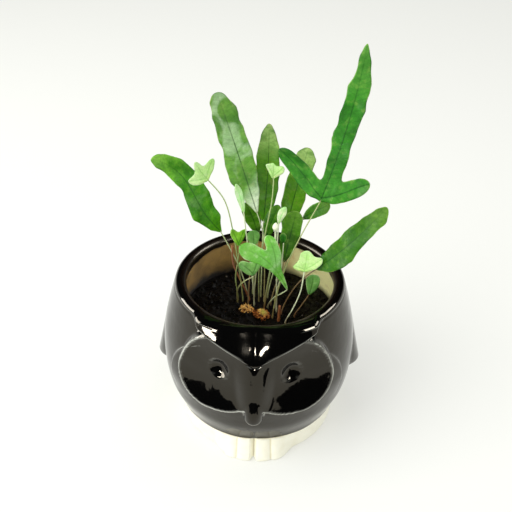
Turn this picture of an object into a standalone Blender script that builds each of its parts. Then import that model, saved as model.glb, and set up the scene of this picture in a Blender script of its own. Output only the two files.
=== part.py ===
"""Potted blue star fern: a black-glazed owl pot with its soil, a creeping rhizome and the fronds.

Lengths below are millimetres and are turned into metres when a mesh is made. +Z is up, the owl
looks along -Y, and the origin is the middle of the pot's flat base.
"""

import math
import random

import bmesh
import bpy
from mathutils import Quaternion, Vector, geometry

MM = 0.001
GAP = 0.3

# Pot: height, rim, wall and the turned profile of the body (height, radius)
POT_HEIGHT = 92.7
LIP_HEIGHT = 90.0
LIP_OUTER_RADIUS = 46.0
MOUTH_RADIUS = 40.0
POT_FLOOR = 7.0
GLAZE_EDGE_HEIGHT = 15.3
BODY_PROFILE = (
    (0.0, 44.7),
    (GLAZE_EDGE_HEIGHT, 46.8),
    (29.7, 51.7),
    (46.3, 53.6),
    (63.0, 52.6),
    (78.8, 49.2),
    (LIP_HEIGHT, LIP_OUTER_RADIUS),
)
INNER_PROFILE = (
    (POT_FLOOR, 39.0),
    (20.0, 43.0),
    (46.0, 46.0),
    (65.3, 43.3),
    (84.0, 40.6),
    (LIP_HEIGHT, MOUTH_RADIUS),
)
ARC_RADIUS = 51.0

# Owl's face: the brow's V, the mask with the two dished eyes, the cheeks beside it, the nose
# ridge and the beak, in arc and height on the body
BROW_POINT_HEIGHT = 75.2
BROW_SLOPE = 0.5
BROW_CURVE = 0.0038
BROW_HALF_ARC = 32.0
BROW_CORNER = 5.0
BROW_STEP = 3.4
FOREHEAD_SLOPE = 0.14
FOREHEAD_BEND = 0.0075
EYE_ARC = 23.5
EYE_HEIGHT = 61.0
EYE_RADIUS = 17.7
EYE_RUN_OUT = 7.6
EYE_DISH_DEPTH = 5.2
PUPIL_ARC = 19.2
PUPIL_HEIGHT = 65.4
PUPIL_RADIUS = 4.8
PUPIL_DEPTH = 2.0
MASK_HEIGHT = 3.0
MASK_FALL = 3.0
CHEEK_ARC = 19.5
CHEEK_CENTRE = 47.0
CHEEK_RADIUS = 33.0
CHEEK_HEIGHT = 1.4
NOSE_TOP = 74.0
NOSE_TOP_HEIGHT = 3.0
NOSE_GAIN = 0.1
NOSE_HALF_WIDTH = 7.8
NOSE_END = 39.0
NOSE_BLEND = 3.0
BEAK_HEIGHT = 43.8
BEAK_HALF_WIDTH = 5.0
BEAK_DROP = 5.4
BEAK_RISE = 14.0
BEAK_STAND_OFF = 8.2

# Wings folded at the owl's sides
WING_ANGLE = math.radians(97.0)
WING_TOP = 73.0
WING_TIP = 26.0
WING_HALF_WIDTH = 11.5
WING_STAND_OFF = 10.4

# Feet under the glaze edge
FOOT_HALF_ANGLE = math.radians(28.0)
FOOT_STAND_OFF = 5.2
TOE_ANGLE = math.radians(11.2)

# Soil, rhizome and stalks
SOIL_TOP = 69.6
SOIL_EDGE_TOP = 65.3
SOIL_RELIEF = 0.7
STALK_DEPTH = 6.0
STALK_RADIUS = 0.55
STALK_SIDES = 5
BUD_LENGTH = 5.4
HOLE_SIDES = 6
BLADE_THICKNESS = 0.7
RHIZOME_PATH = (
    (-10.0, -1.0, 68.8),
    (-6.4, -2.6, 69.3),
    (-2.0, -4.9, 68.2),
    (2.4, -6.8, 69.2),
    (6.0, -7.6, 68.6),
)
RHIZOME_RADII = (1.5, 2.4, 1.7, 3.2, 1.6)

# Fronds. Each has its foot in the soil, the points its stalk passes, the points its blade's midrib
# passes (base, middle, tip), the half-widths on the left and right of the midrib from base to tip,
# side lobes (angle from the midrib in degrees, length, half-width), how far up the midrib they leave it,
# the sideways sway of the blade, the way it faces, the trough across it, the wave of its edges and the
# number of waves.
FRONDS = (
    {
        "name": "frond_left",
        "foot": (-7.0, 9.0),
        "stalk": ((-11.5, 8.5, 90.0), (-17.5, 7.0, 106.0)),
        "rib": ((-21.5, 6.0, 115.4), (-35.2, 1.0, 142.4), (-53.3, -6.0, 163.5)),
        "left": (0.6, 3.1, 4.5, 6.0, 7.4, 6.5, 5.3, 5.1, 5.3, 5.2, 4.1, 3.3, 3.0),
        "right": (0.6, 3.4, 5.9, 6.7, 7.5, 7.5, 7.6, 7.4, 6.4, 5.6, 5.3, 4.2, 3.6),
        "tip": 0.09,
        "sway": -2.3,
        "face": (0.35, -0.75, 0.55),
        "cup": 0.9,
        "wave": 0.8,
        "waves": 3.0,
        "tone": "leaf",
    },
    {
        "name": "frond_tall_left",
        "foot": (-3.4, 9.6),
        "stalk": ((-2.2, 9.8, 90.0), (1.2, 9.2, 109.0), (-0.6, 8.9, 119.5)),
        "rib": ((-2.6, 8.0, 126.9), (-13.2, 10.0, 161.4), (-22.5, 6.0, 193.2)),
        "left": (0.6, 3.2, 5.1, 7.4, 8.2, 7.9, 6.8, 6.7, 6.9, 6.0, 5.7, 5.0, 4.6),
        "right": (0.6, 3.0, 4.6, 5.8, 6.6, 7.2, 7.2, 7.1, 6.6, 6.2, 6.8, 5.4, 4.6),
        "tip": 0.1,
        "face": (-0.1, -0.85, 0.5),
        "cup": 0.8,
        "wave": 0.5,
        "waves": 2.5,
        "tone": "pale_leaf",
    },
    {
        "name": "frond_centre",
        "foot": (0.4, 9.8),
        "stalk": ((0.4, 12.0, 92.0), (0.5, 13.2, 106.0)),
        "rib": ((0.6, 13.6, 118.0), (2.2, 17.4, 146.0), (2.1, 18.0, 173.0)),
        "left": (0.6, 4.6, 5.6, 6.2, 6.0, 4.8, 3.2),
        "right": (0.6, 4.6, 5.8, 6.2, 5.6, 4.6, 3.0),
        "tip": 0.22,
        "face": (0.0, -0.9, 0.45),
        "cup": 1.0,
        "wave": 0.5,
        "waves": 2.0,
        "tone": "leaf",
    },
    {
        "name": "frond_back_right",
        "foot": (4.2, 9.4),
        "stalk": ((7.5, 12.5, 88.0), (10.6, 15.0, 99.0)),
        "rib": ((12.6, 16.0, 107.9), (17.5, 24.5, 132.0), (23.2, 30.0, 154.5)),
        "left": (0.6, 4.2, 5.8, 6.2, 6.0, 5.6, 4.8),
        "right": (0.6, 4.0, 5.6, 6.0, 5.8, 5.6, 4.6),
        "tip": 0.12,
        "face": (-0.1, -0.85, 0.5),
        "cup": 0.8,
        "wave": 0.5,
        "waves": 2.0,
        "tone": "leaf",
    },
    {
        "name": "frond_three_lobed",
        "foot": (7.6, -8.6),
        "stalk": ((9.6, -9.4, 88.0), (13.6, -10.0, 106.0), (20.4, -9.0, 125.0)),
        "rib": ((28.8, -6.0, 143.3), (38.4, -8.0, 185.0), (44.7, 2.0, 219.6)),
        "left": (0.8, 3.0, 3.3, 3.7, 4.0, 5.3, 4.6, 4.6, 4.4, 4.2, 2.3, 2.5, 0.9),
        "right": (0.8, 3.6, 5.3, 5.3, 5.1, 4.5, 5.0, 5.6, 5.5, 5.4, 4.2, 2.4, 0.5),
        "lobes": ((-60.0, 31.5, 5.0), (49.0, 24.6, 4.3)),
        "tip": 0.04,
        "face": (-0.1, -0.8, 0.6),
        "cup": 0.5,
        "wave": 0.9,
        "waves": 3.5,
        "tone": "blue_leaf",
    },
    {
        "name": "frond_low_right",
        "foot": (8.4, 6.6),
        "stalk": ((12.5, 9.0, 90.0), (17.0, 9.6, 108.0)),
        "rib": ((21.5, 8.0, 124.4), (27.8, 6.4, 130.6), (34.8, 4.6, 135.4)),
        "left": (0.6, 2.8, 3.4, 3.4, 2.8),
        "right": (0.6, 2.8, 3.6, 3.6, 3.0),
        "tip": 0.2,
        "face": (-0.2, -0.8, 0.6),
        "cup": 0.8,
        "wave": 0.2,
        "waves": 2.0,
        "tone": "leaf",
    },
    {
        "name": "frond_right",
        "foot": (12.4, -4.6),
        "stalk": ((15.5, -5.4, 82.0), (21.5, -8.6, 96.0)),
        "rib": ((29.0, -12.0, 106.8), (45.0, -12.8, 123.9), (61.0, -11.3, 144.7)),
        "left": (0.6, 3.4, 4.8, 5.0, 5.3, 5.8, 6.5, 6.2, 5.6, 5.4, 4.4, 3.6, 2.6),
        "right": (0.6, 3.6, 5.8, 7.2, 7.8, 7.8, 6.8, 5.0, 5.2, 5.4, 4.8, 4.6, 3.4),
        "tip": 0.1,
        "face": (-0.45, -0.7, 0.6),
        "cup": 0.7,
        "wave": 0.7,
        "waves": 3.0,
        "tone": "leaf",
    },
    {
        "name": "frond_mid_right",
        "foot": (6.2, 3.2),
        "stalk": ((8.6, 2.6, 84.0), (11.2, 1.2, 94.0)),
        "rib": ((12.4, 0.0, 101.8), (15.0, 2.0, 116.0), (17.8, 5.0, 130.8)),
        "left": (0.6, 3.2, 4.6, 5.2, 5.2, 4.6),
        "right": (0.6, 3.0, 4.2, 4.8, 4.6, 4.0),
        "tip": 0.14,
        "face": (0.0, -0.85, 0.5),
        "cup": 0.8,
        "wave": 0.5,
        "waves": 2.0,
        "tone": "leaf",
    },
    {
        "name": "frond_mid_left",
        "foot": (-4.4, 13.4),
        "stalk": ((-3.4, 15.4, 90.0), (-2.4, 16.0, 101.0)),
        "rib": ((-2.2, 16.2, 108.0), (-5.2, 17.0, 118.0), (-9.4, 18.0, 126.9)),
        "left": (0.6, 3.2, 4.2, 4.2, 3.4),
        "right": (0.6, 3.2, 4.4, 4.4, 3.4),
        "tip": 0.2,
        "face": (0.0, -0.85, 0.5),
        "cup": 0.8,
        "wave": 0.2,
        "waves": 1.5,
        "tone": "dark_leaf",
    },
    {
        "name": "frond_mid_centre",
        "foot": (2.4, 5.4),
        "stalk": ((2.2, 6.2, 90.0), (2.2, 6.0, 104.0)),
        "rib": ((2.6, 5.0, 112.8), (5.2, 5.4, 123.6), (8.7, 8.0, 132.2)),
        "left": (0.6, 2.8, 3.8, 3.6, 2.6),
        "right": (0.6, 2.6, 3.4, 3.4, 2.6),
        "tip": 0.25,
        "face": (0.0, -0.85, 0.5),
        "cup": 0.8,
        "wave": 0.2,
        "waves": 1.5,
        "tone": "leaf",
    },
    {
        "name": "young_star_left",
        "foot": (-9.6, 5.4),
        "stalk": ((-11.8, 2.4, 96.0), (-14.6, -1.0, 121.0), (-18.6, -5.0, 142.0)),
        "rib": ((-25.5, -8.0, 153.8), (-29.0, -10.2, 160.0), (-31.4, -12.0, 165.9)),
        "left": (0.5, 2.6, 2.6, 2.0, 1.1),
        "right": (0.5, 2.4, 2.2, 1.8, 1.0),
        "lobes": ((-52.0, 9.5, 2.3), (52.0, 10.5, 2.6)),
        "tip": 0.2,
        "face": (0.1, -0.75, 0.65),
        "cup": 0.3,
        "wave": 0.2,
        "waves": 1.0,
        "tone": "lime_leaf",
    },
    {
        "name": "young_centre",
        "foot": (-0.6, 5.8),
        "stalk": ((-0.6, 3.4, 98.0), (2.6, 0.4, 122.0), (5.0, 0.2, 139.0)),
        "rib": ((5.5, 0.8, 151.0), (4.1, 0.6, 156.0), (1.4, 0.4, 160.2)),
        "left": (0.5, 1.2, 1.2, 0.9),
        "right": (0.5, 1.3, 1.2, 0.9),
        "lobes": ((68.0, 7.0, 1.7), (24.0, 7.4, 1.0)),
        "tip": 0.3,
        "face": (0.0, -0.8, 0.6),
        "cup": 0.6,
        "wave": 0.2,
        "waves": 1.0,
        "tone": "lime_leaf",
    },
    {
        "name": "young_left",
        "foot": (-12.6, 7.4),
        "stalk": ((-13.6, 4.0, 88.0), (-12.0, 0.0, 101.0)),
        "rib": ((-11.1, -2.0, 112.2), (-12.8, -3.0, 118.0), (-14.9, -4.0, 124.0)),
        "left": (0.5, 1.6, 2.0, 1.6),
        "right": (0.5, 1.8, 2.0, 1.6),
        "lobes": ((37.0, 9.5, 1.7),),
        "tip": 0.25,
        "face": (0.1, -0.8, 0.6),
        "cup": 0.6,
        "wave": 0.2,
        "waves": 1.0,
        "tone": "leaf",
    },
    {
        "name": "young_front",
        "foot": (4.6, 0.2),
        "stalk": ((8.0, -4.6, 81.0), (12.4, -11.6, 90.0)),
        "rib": ((14.7, -14.4, 94.6), (4.4, -17.4, 113.8), (-10.4, -17.0, 121.6)),
        "left": (0.5, 1.5, 2.3, 3.2, 4.4, 4.7, 3.9),
        "right": (0.5, 1.6, 2.6, 3.0, 3.8, 3.9, 3.3),
        "lobes": ((34.0, 19.0, 3.2),),
        "lobe_base": 12.5,
        "tip": 0.12,
        "face": (-0.1, -0.75, 0.65),
        "cup": 0.6,
        "wave": 0.5,
        "waves": 2.0,
        "tone": "bright_leaf",
    },
    {
        "name": "young_low_left",
        "foot": (-12.4, 2.6),
        "stalk": ((-12.0, -2.6, 84.0), (-8.0, -8.0, 94.0)),
        "rib": ((-2.6, -9.5, 99.0), (-6.0, -9.8, 103.4), (-10.6, -10.4, 107.6)),
        "left": (0.5, 2.4, 2.8, 2.4),
        "right": (0.5, 2.4, 2.8, 2.4),
        "lobes": ((62.0, 7.6, 2.1),),
        "tip": 0.25,
        "face": (0.0, -0.8, 0.6),
        "cup": 0.5,
        "wave": 0.3,
        "waves": 1.5,
        "tone": "bright_leaf",
    },
    {
        "name": "young_lime",
        "foot": (14.8, -12.2),
        "stalk": ((18.0, -14.4, 81.0), (21.8, -15.4, 95.0)),
        "rib": ((22.9, -15.0, 106.4), (23.6, -13.6, 112.0), (23.8, -12.0, 118.0)),
        "left": (0.5, 3.2, 3.6, 3.4),
        "right": (0.5, 3.4, 3.6, 3.4),
        "lobes": ((-78.0, 6.4, 2.2), (50.0, 10.4, 2.4)),
        "tip": 0.25,
        "face": (0.0, -0.75, 0.65),
        "cup": 0.3,
        "wave": 0.3,
        "waves": 1.0,
        "tone": "lime_leaf",
    },
    {
        "name": "young_dark_right",
        "foot": (19.6, -6.6),
        "stalk": ((22.6, -7.6, 78.0),),
        "rib": ((26.6, -8.6, 87.2), (27.8, -9.6, 95.2), (27.8, -9.8, 101.6)),
        "left": (0.5, 2.8, 3.5, 3.0),
        "right": (0.5, 3.0, 3.9, 3.4),
        "tip": 0.25,
        "face": (0.0, -0.75, 0.65),
        "cup": 0.5,
        "wave": 0.2,
        "waves": 1.0,
        "tone": "dark_leaf",
    },
    {
        "name": "young_round",
        "foot": (-6.4, 3.0),
        "stalk": ((-5.6, 3.0, 92.0), (-4.2, 2.6, 104.0)),
        "rib": ((-3.7, 2.6, 109.6), (-4.0, 3.0, 114.6), (-4.4, 3.4, 119.0)),
        "left": (0.5, 2.8, 3.4, 3.2),
        "right": (0.5, 2.8, 3.4, 3.2),
        "tip": 0.35,
        "face": (0.0, -0.85, 0.5),
        "cup": 0.4,
        "wave": 0.2,
        "waves": 1.0,
        "tone": "dark_leaf",
    },
    {
        "name": "young_folded",
        "foot": (9.6, -2.2),
        "stalk": ((9.0, -3.4, 92.0), (8.6, -4.4, 112.0)),
        "rib": ((9.0, -4.0, 128.6), (10.2, -4.0, 133.6), (12.2, -4.2, 138.6)),
        "left": (0.5, 1.8, 2.2, 1.4),
        "right": (0.5, 1.6, 2.0, 1.2),
        "tip": 0.3,
        "face": (0.2, -0.8, 0.6),
        "cup": 1.2,
        "wave": 0.1,
        "waves": 1.0,
        "tone": "lime_leaf",
    },
    {
        "name": "young_narrow",
        "foot": (-3.0, 2.2),
        "stalk": ((-4.6, -1.0, 96.0), (-7.0, -3.0, 116.0)),
        "rib": ((-8.9, -3.5, 134.1), (-10.5, -3.5, 142.0), (-12.8, -4.0, 150.6)),
        "left": (0.5, 1.4, 1.8, 2.0, 1.4),
        "right": (0.5, 1.4, 1.7, 1.8, 1.2),
        "tip": 0.3,
        "face": (0.2, -0.8, 0.5),
        "cup": 0.6,
        "wave": 0.2,
        "waves": 1.0,
        "tone": "lime_leaf",
    },
    {
        "name": "young_teal",
        "foot": (8.8, 1.4),
        "stalk": ((10.5, -1.2, 89.0), (11.5, -3.2, 105.6)),
        "rib": ((11.8, -4.2, 116.8), (11.5, -4.6, 120.2), (11.2, -5.0, 123.6)),
        "left": (0.5, 1.6, 1.8, 1.4),
        "right": (0.5, 1.6, 1.8, 1.4),
        "tip": 0.3,
        "face": (0.0, -0.8, 0.6),
        "cup": 0.8,
        "wave": 0.3,
        "waves": 1.5,
        "tone": "blue_leaf",
    },
)

# Leafless stalks: foot and the points that each passes
BARE_STALKS = (
    {
        "name": "dead_stalk_front",
        "foot": (11.0, -9.6),
        "points": ((11.2, -9.8, 75.0), (11.3, -9.6, 79.5)),
        "radius": 0.8,
        "end_radius": 0.6,
        "tone": "dead_stalk",
    },
    {
        "name": "dead_stalk_left",
        "foot": (-6.0, 6.0),
        "points": ((-10.6, 5.6, 83.0), (-14.8, 4.6, 96.0), (-15.3, 3.2, 109.0)),
        "radius": 0.55,
        "end_radius": 0.45,
        "tone": "dead_stalk",
    },
    {
        "name": "young_bud",
        "foot": (2.8, -1.0),
        "points": ((4.6, -4.6, 92.0), (6.6, -6.4, 110.0), (7.5, -6.6, 120.6), (7.5, -6.6, 125.2)),
        "radius": 0.55,
        "end_radius": 1.6,
        "tone": "lime_leaf",
    },
)

# Material colours (red, green, blue as seen), roughness and metallic value
TONES = {
    "black_glaze": ((0.012, 0.011, 0.012), 0.08),
    "soil": ((0.020, 0.014, 0.010), 0.95),
    "rhizome": ((0.42, 0.22, 0.06), 0.7),
    "leaf": ((0.06, 0.23, 0.04), 0.45),
    "pale_leaf": ((0.13, 0.29, 0.12), 0.42),
    "blue_leaf": ((0.04, 0.20, 0.06), 0.45),
    "dark_leaf": ((0.04, 0.15, 0.04), 0.5),
    "bright_leaf": ((0.11, 0.36, 0.09), 0.45),
    "lime_leaf": ((0.38, 0.72, 0.26), 0.5),
    "dead_stalk": ((0.30, 0.12, 0.04), 0.8),
}


def smooth_step(low, high, value):
    """Rise smoothly from 0 at low to 1 at high."""
    t = min(1.0, max(0.0, (value - low) / (high - low)))
    return t * t * (3.0 - 2.0 * t)


def smooth_max(a, b, blend):
    """Return the larger of two heights with a rounded meeting."""
    h = max(0.0, blend - abs(a - b))
    return max(a, b) + h * h / (4.0 * blend)


def hermite(a, slope_a, b, slope_b, t):
    """Blend from a to b over t from 0 to 1, with the slopes given at both ends."""
    start = (2 * t**3 - 3 * t**2 + 1) * a + (t**3 - 2 * t**2 + t) * slope_a
    return start + (3 * t**2 - 2 * t**3) * b + (t**3 - t**2) * slope_b


def curve_value(values, u):
    """Read a smooth curve through equally spaced values at u from 0 to 1."""
    last = len(values) - 1
    position = min(1.0, max(0.0, u)) * last
    i = min(int(position), last - 1)
    t = position - i
    p1 = values[i]
    p2 = values[i + 1]
    p0 = values[i - 1] if i > 0 else p1 + (p1 - p2)
    p3 = values[i + 2] if i + 2 <= last else p2 + (p2 - p1)
    slope1 = 0.5 * (p2 - p0)
    slope2 = 0.5 * (p3 - p1)
    return hermite(p1, slope1, p2, slope2, t)


def profile_radius(profile, z):
    """Read a turned profile (height, radius) at a height, with smooth joins."""
    if z <= profile[0][0]:
        return profile[0][1]
    for i in range(len(profile) - 1):
        z0, r0 = profile[i]
        z1, r1 = profile[i + 1]
        if z <= z1:
            before = profile[i - 1] if i > 0 else profile[i]
            after = profile[i + 2] if i + 2 < len(profile) else profile[i + 1]
            slope0 = (r1 - before[1]) / (z1 - before[0])
            slope1 = (after[1] - r0) / (after[0] - z0)
            span = z1 - z0
            t = (z - z0) / span
            return hermite(r0, span * slope0, r1, span * slope1, t)
    return profile[-1][1]


def brow_height(arc):
    """Height of the brow's edge at an arc from the middle of the face."""
    across = abs(arc)
    height = BROW_POINT_HEIGHT + BROW_SLOPE * across - BROW_CURVE * across**2
    corner = smooth_step(BROW_HALF_ARC, BROW_HALF_ARC + BROW_CORNER, across)
    return height + (LIP_HEIGHT - height) * corner


def eye_reach(x, y):
    """Distance from an eye's middle to the end of its dish, longer towards brow and nose."""
    lean = 0.5 - 0.5 * (0.79 * x - 0.61 * y) / max(math.hypot(x, y), 0.01)
    return EYE_RADIUS + EYE_RUN_OUT * smooth_step(0.18, 0.93, lean)


def face_relief(arc, z):
    """Stand-off of the mask with its dished eyes, the cheeks, the nose ridge and the beak."""
    across = abs(arc)
    x = across - EYE_ARC
    y = z - EYE_HEIGHT
    rho = math.hypot(x, y)
    reach = eye_reach(x, y)
    if rho < reach:
        eye = MASK_HEIGHT - EYE_DISH_DEPTH * (1.0 - (rho / reach) ** 2)
        pupil = math.hypot(across - PUPIL_ARC, z - PUPIL_HEIGHT) / PUPIL_RADIUS
        eye -= PUPIL_DEPTH * max(0.0, 1.0 - pupil**2)
    else:
        far = math.hypot(across - CHEEK_ARC, z - CHEEK_CENTRE)
        edge = 1.0 - smooth_step(CHEEK_RADIUS - 1.5, CHEEK_RADIUS, far)
        cheek = CHEEK_HEIGHT * edge * smooth_step(33.0, 52.0, z)
        eye = max(MASK_HEIGHT * (1.0 - smooth_step(0.0, MASK_FALL, rho - reach)), cheek)
    down = (z - BEAK_HEIGHT) / (BEAK_RISE if z > BEAK_HEIGHT else BEAK_DROP)
    q = math.hypot(across / BEAK_HALF_WIDTH, down)
    beak = BEAK_STAND_OFF * math.sqrt(1.0 - q * q) if q < 1.0 else 12.0 * (1.0 - q)
    nose = NOSE_TOP_HEIGHT + NOSE_GAIN * (NOSE_TOP - z)
    nose *= 1.0 - (across / NOSE_HALF_WIDTH) ** 2
    nose -= 14.0 * (1.0 - smooth_step(NOSE_END, NOSE_END + 8.0, z))
    return smooth_max(smooth_max(eye, nose, NOSE_BLEND), beak, 0.8)


def wing_relief(theta, z):
    """Stand-off of the folded wing at one side of the body."""
    if z <= WING_TIP or z >= WING_TOP:
        return 0.0
    u = (z - WING_TIP) / (WING_TOP - WING_TIP)
    half = WING_HALF_WIDTH * math.sin(math.pi * u**0.62) ** 0.8
    offset = abs(abs(theta) - WING_ANGLE) * ARC_RADIUS
    if offset >= half:
        return 0.0
    height = WING_STAND_OFF * smooth_step(0.0, 0.15, u) * (1.0 - u) ** 2.2
    return height * (1.0 - (offset / half) ** 2) ** 0.75


def foot_relief(theta, z):
    """Stand-off of the two feet with their toes, under the glaze edge."""
    if z >= GLAZE_EDGE_HEIGHT:
        return 0.0
    angle = abs(theta)
    if angle > FOOT_HALF_ANGLE + 0.12:
        return 0.0
    spread = 1.0 - smooth_step(0.4 * FOOT_HALF_ANGLE, FOOT_HALF_ANGLE + 0.06, angle) ** 1.4
    toe = abs(math.sin(math.pi * min(angle, 1.5 * TOE_ANGLE) / TOE_ANGLE))
    middle = 1.0 - smooth_step(0.0, 0.045, angle)
    drop = (1.0 - z / GLAZE_EDGE_HEIGHT) ** 0.8
    return spread * (FOOT_STAND_OFF * drop + 0.9 * toe**0.6 - 2.8 * middle)


def outer_radius(theta, z):
    """Radius of the pot's outside, with all its relief."""
    arc = theta * ARC_RADIUS
    radius = profile_radius(BODY_PROFILE, z)
    if z < GLAZE_EDGE_HEIGHT:
        return radius + foot_relief(theta, z)
    radius += wing_relief(theta, z)
    if abs(arc) > 60.0:
        return radius
    brow = brow_height(arc)
    fade = 1.0 - smooth_step(BROW_HALF_ARC, BROW_HALF_ARC + 2.0 * BROW_CORNER, abs(arc))
    below = smooth_step(brow - 1.0, brow, z)
    above = max(0.0, z - brow)
    forehead = (BROW_STEP - FOREHEAD_SLOPE * above - FOREHEAD_BEND * above**2) * fade
    return radius + face_relief(arc, z) * (1.0 - below) + forehead * below


def column_angles():
    """Angles of the pot's columns: close together on the face, wider at the back."""
    half = [0.0]
    while half[-1] < math.pi - 0.01:
        angle = math.degrees(half[-1])
        step = 3.5 if angle < 56.0 else 5.6 if angle < 112.0 else 11.3
        half.append(min(math.pi, half[-1] + math.radians(step)))
    return half + [-angle for angle in reversed(half[1:-1])]


def new_material(name):
    """Make the Principled material of one piece."""
    colour, roughness = TONES[name]
    material = bpy.data.materials.new(name)
    material.use_nodes = True
    shader = material.node_tree.nodes["Principled BSDF"]
    shader.inputs["Base Color"].default_value = (*colour, 1.0)
    shader.inputs["Roughness"].default_value = roughness
    shader.inputs["Metallic"].default_value = 0.0
    material.diffuse_color = (*colour, 1.0)
    return material


def mesh_object(name, vertices, faces, tone, hidden=False):
    """Make an object from millimetre points, its faces turned outward."""
    mesh = bpy.data.meshes.new(name)
    mesh.from_pydata([tuple(c * MM for c in v) for v in vertices], [], faces)
    work = bmesh.new()
    work.from_mesh(mesh)
    bmesh.ops.recalc_face_normals(work, faces=work.faces)
    if work.calc_volume(signed=True) < 0.0:
        bmesh.ops.reverse_faces(work, faces=work.faces)
    work.to_mesh(mesh)
    work.free()
    item = bpy.data.objects.new(name, mesh)
    bpy.context.collection.objects.link(item)
    if hidden:
        item.hide_render = True
        item.display_type = "WIRE"
    else:
        mesh.materials.append(new_material(tone))
    return item


def join_by(item, other, operation):
    """Join or cut an object by a hidden guide, with a Boolean modifier."""
    step = item.modifiers.new(operation.lower(), "BOOLEAN")
    step.operation = operation
    step.solver = "EXACT"
    step.object = other


def turned_shell(rows, columns, close_start, close_end):
    """Skin rows of points round the axis and close both ends with a centre point."""
    vertices = []
    faces = []
    for row in rows:
        vertices.extend(row)
    for i in range(len(rows) - 1):
        for j in range(columns):
            k = (j + 1) % columns
            a = i * columns + j
            b = i * columns + k
            c = (i + 1) * columns + k
            d = (i + 1) * columns + j
            faces.append((a, b, c))
            faces.append((a, c, d))
    for start, centre in ((0, close_start), ((len(rows) - 1) * columns, close_end)):
        vertices.append(centre)
        for j in range(columns):
            faces.append((start + j, start + (j + 1) % columns, len(vertices) - 1))
    return vertices, faces


def make_pot():
    """Build the owl pot: outside with relief, rounded lip, inside wall and flat base."""
    angles = column_angles()
    rows = []

    def ring(radius_at, height_at):
        row = []
        for theta in angles:
            z = height_at(theta)
            r = radius_at(theta, z)
            row.append((r * math.sin(theta), -r * math.cos(theta), z))
        rows.append(row)

    for z in (0.0, 4.0, 9.0, 14.6, GLAZE_EDGE_HEIGHT):
        ring(outer_radius, lambda theta, z=z: z)
    body_steps = 18
    for i in range(1, body_steps + 1):
        share = i / body_steps
        ring(
            outer_radius,
            lambda theta, share=share: GLAZE_EDGE_HEIGHT
            + share * (brow_height(theta * ARC_RADIUS) - 1.0 - GLAZE_EDGE_HEIGHT),
        )
    lip_steps = 4
    for i in range(lip_steps + 1):
        share = i / lip_steps
        ring(
            outer_radius,
            lambda theta, share=share: brow_height(theta * ARC_RADIUS)
            + share * (LIP_HEIGHT + 0.4 - brow_height(theta * ARC_RADIUS)),
        )
    lip = POT_HEIGHT - LIP_HEIGHT
    for angle in (30.0, 60.0, 90.0, 125.0, 155.0, 180.0):
        turn = math.radians(angle)
        across = 0.5 * (1.0 - math.cos(turn))
        rise = LIP_HEIGHT + lip * math.sin(turn)

        def lip_radius(theta, z, across=across):
            outer = outer_radius(theta, LIP_HEIGHT + 0.4)
            return outer + (MOUTH_RADIUS - 0.1 - outer) * across

        ring(lip_radius, lambda theta, rise=rise: rise)
    for z in (84.0, 77.0, 70.0, 64.0, 56.0, 46.0, 32.0, 20.0, 11.0, POT_FLOOR):
        ring(lambda theta, z: profile_radius(INNER_PROFILE, z), lambda theta, z=z: z)
    ring(lambda theta, z: 20.0, lambda theta: POT_FLOOR)
    vertices, faces = turned_shell(rows, len(angles), (0.0, 0.0, 0.0), (0.0, 0.0, POT_FLOOR))
    return mesh_object("owl_pot", vertices, faces, "black_glaze")


def stalk_points(foot, points, ends):
    """Route of a stalk: straight down into its hole, then a smooth curve to the blade."""
    x, y = foot
    knots = [
        Vector((x, y, SOIL_TOP - STALK_DEPTH)),
        Vector((x, y, SOIL_TOP + 1.2)),
    ]
    knots += [Vector(p) for p in points]
    knots += [Vector(p) for p in ends]
    route = [knots[0], knots[1]]
    for i in range(1, len(knots) - 1):
        p0 = knots[i - 1] if i > 1 else knots[1] - Vector((0.0, 0.0, 6.0))
        p1 = knots[i]
        p2 = knots[i + 1]
        p3 = knots[i + 2] if i + 2 < len(knots) else p2 + (p2 - p1)
        steps = max(1, round((p2 - p1).length / 8.0))
        for j in range(1, steps + 1):
            t = j / steps
            route.append(catmull(p0, p1, p2, p3, t))
    return route


def catmull(p0, p1, p2, p3, t):
    """Point on a smooth curve from p1 to p2 with uneven knot spacing."""
    k0 = 0.0
    k1 = k0 + math.sqrt(max((p1 - p0).length, 1e-6))
    k2 = k1 + math.sqrt(max((p2 - p1).length, 1e-6))
    k3 = k2 + math.sqrt(max((p3 - p2).length, 1e-6))
    k = k1 + t * (k2 - k1)
    a1 = p0 * ((k1 - k) / (k1 - k0)) + p1 * ((k - k0) / (k1 - k0))
    a2 = p1 * ((k2 - k) / (k2 - k1)) + p2 * ((k - k1) / (k2 - k1))
    a3 = p2 * ((k3 - k) / (k3 - k2)) + p3 * ((k - k2) / (k3 - k2))
    b1 = a1 * ((k2 - k) / (k2 - k0)) + a2 * ((k - k0) / (k2 - k0))
    b2 = a2 * ((k3 - k) / (k3 - k1)) + a3 * ((k - k1) / (k3 - k1))
    return b1 * ((k2 - k) / (k2 - k1)) + b2 * ((k - k1) / (k2 - k1))


def tube(route, radii, sides):
    """Sweep a closed tube of even sides along a route, without twist."""
    vertices = []
    faces = []
    normal = Vector((1.0, 0.0, 0.0))
    for i, point in enumerate(route):
        before = route[max(0, i - 1)]
        after = route[min(len(route) - 1, i + 1)]
        tangent = (after - before).normalized()
        normal = (normal - tangent * normal.dot(tangent)).normalized()
        side = tangent.cross(normal)
        for j in range(sides):
            turn = 2.0 * math.pi * j / sides
            vertices.append(point + (normal * math.cos(turn) + side * math.sin(turn)) * radii[i])
    for i in range(len(route) - 1):
        for j in range(sides):
            k = (j + 1) % sides
            faces.append((i * sides + j, i * sides + k, (i + 1) * sides + k))
            faces.append((i * sides + j, (i + 1) * sides + k, (i + 1) * sides + j))
    last = (len(route) - 1) * sides
    faces.append(tuple(range(sides)))
    faces.append(tuple(last + j for j in range(sides)))
    return vertices, faces


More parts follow.
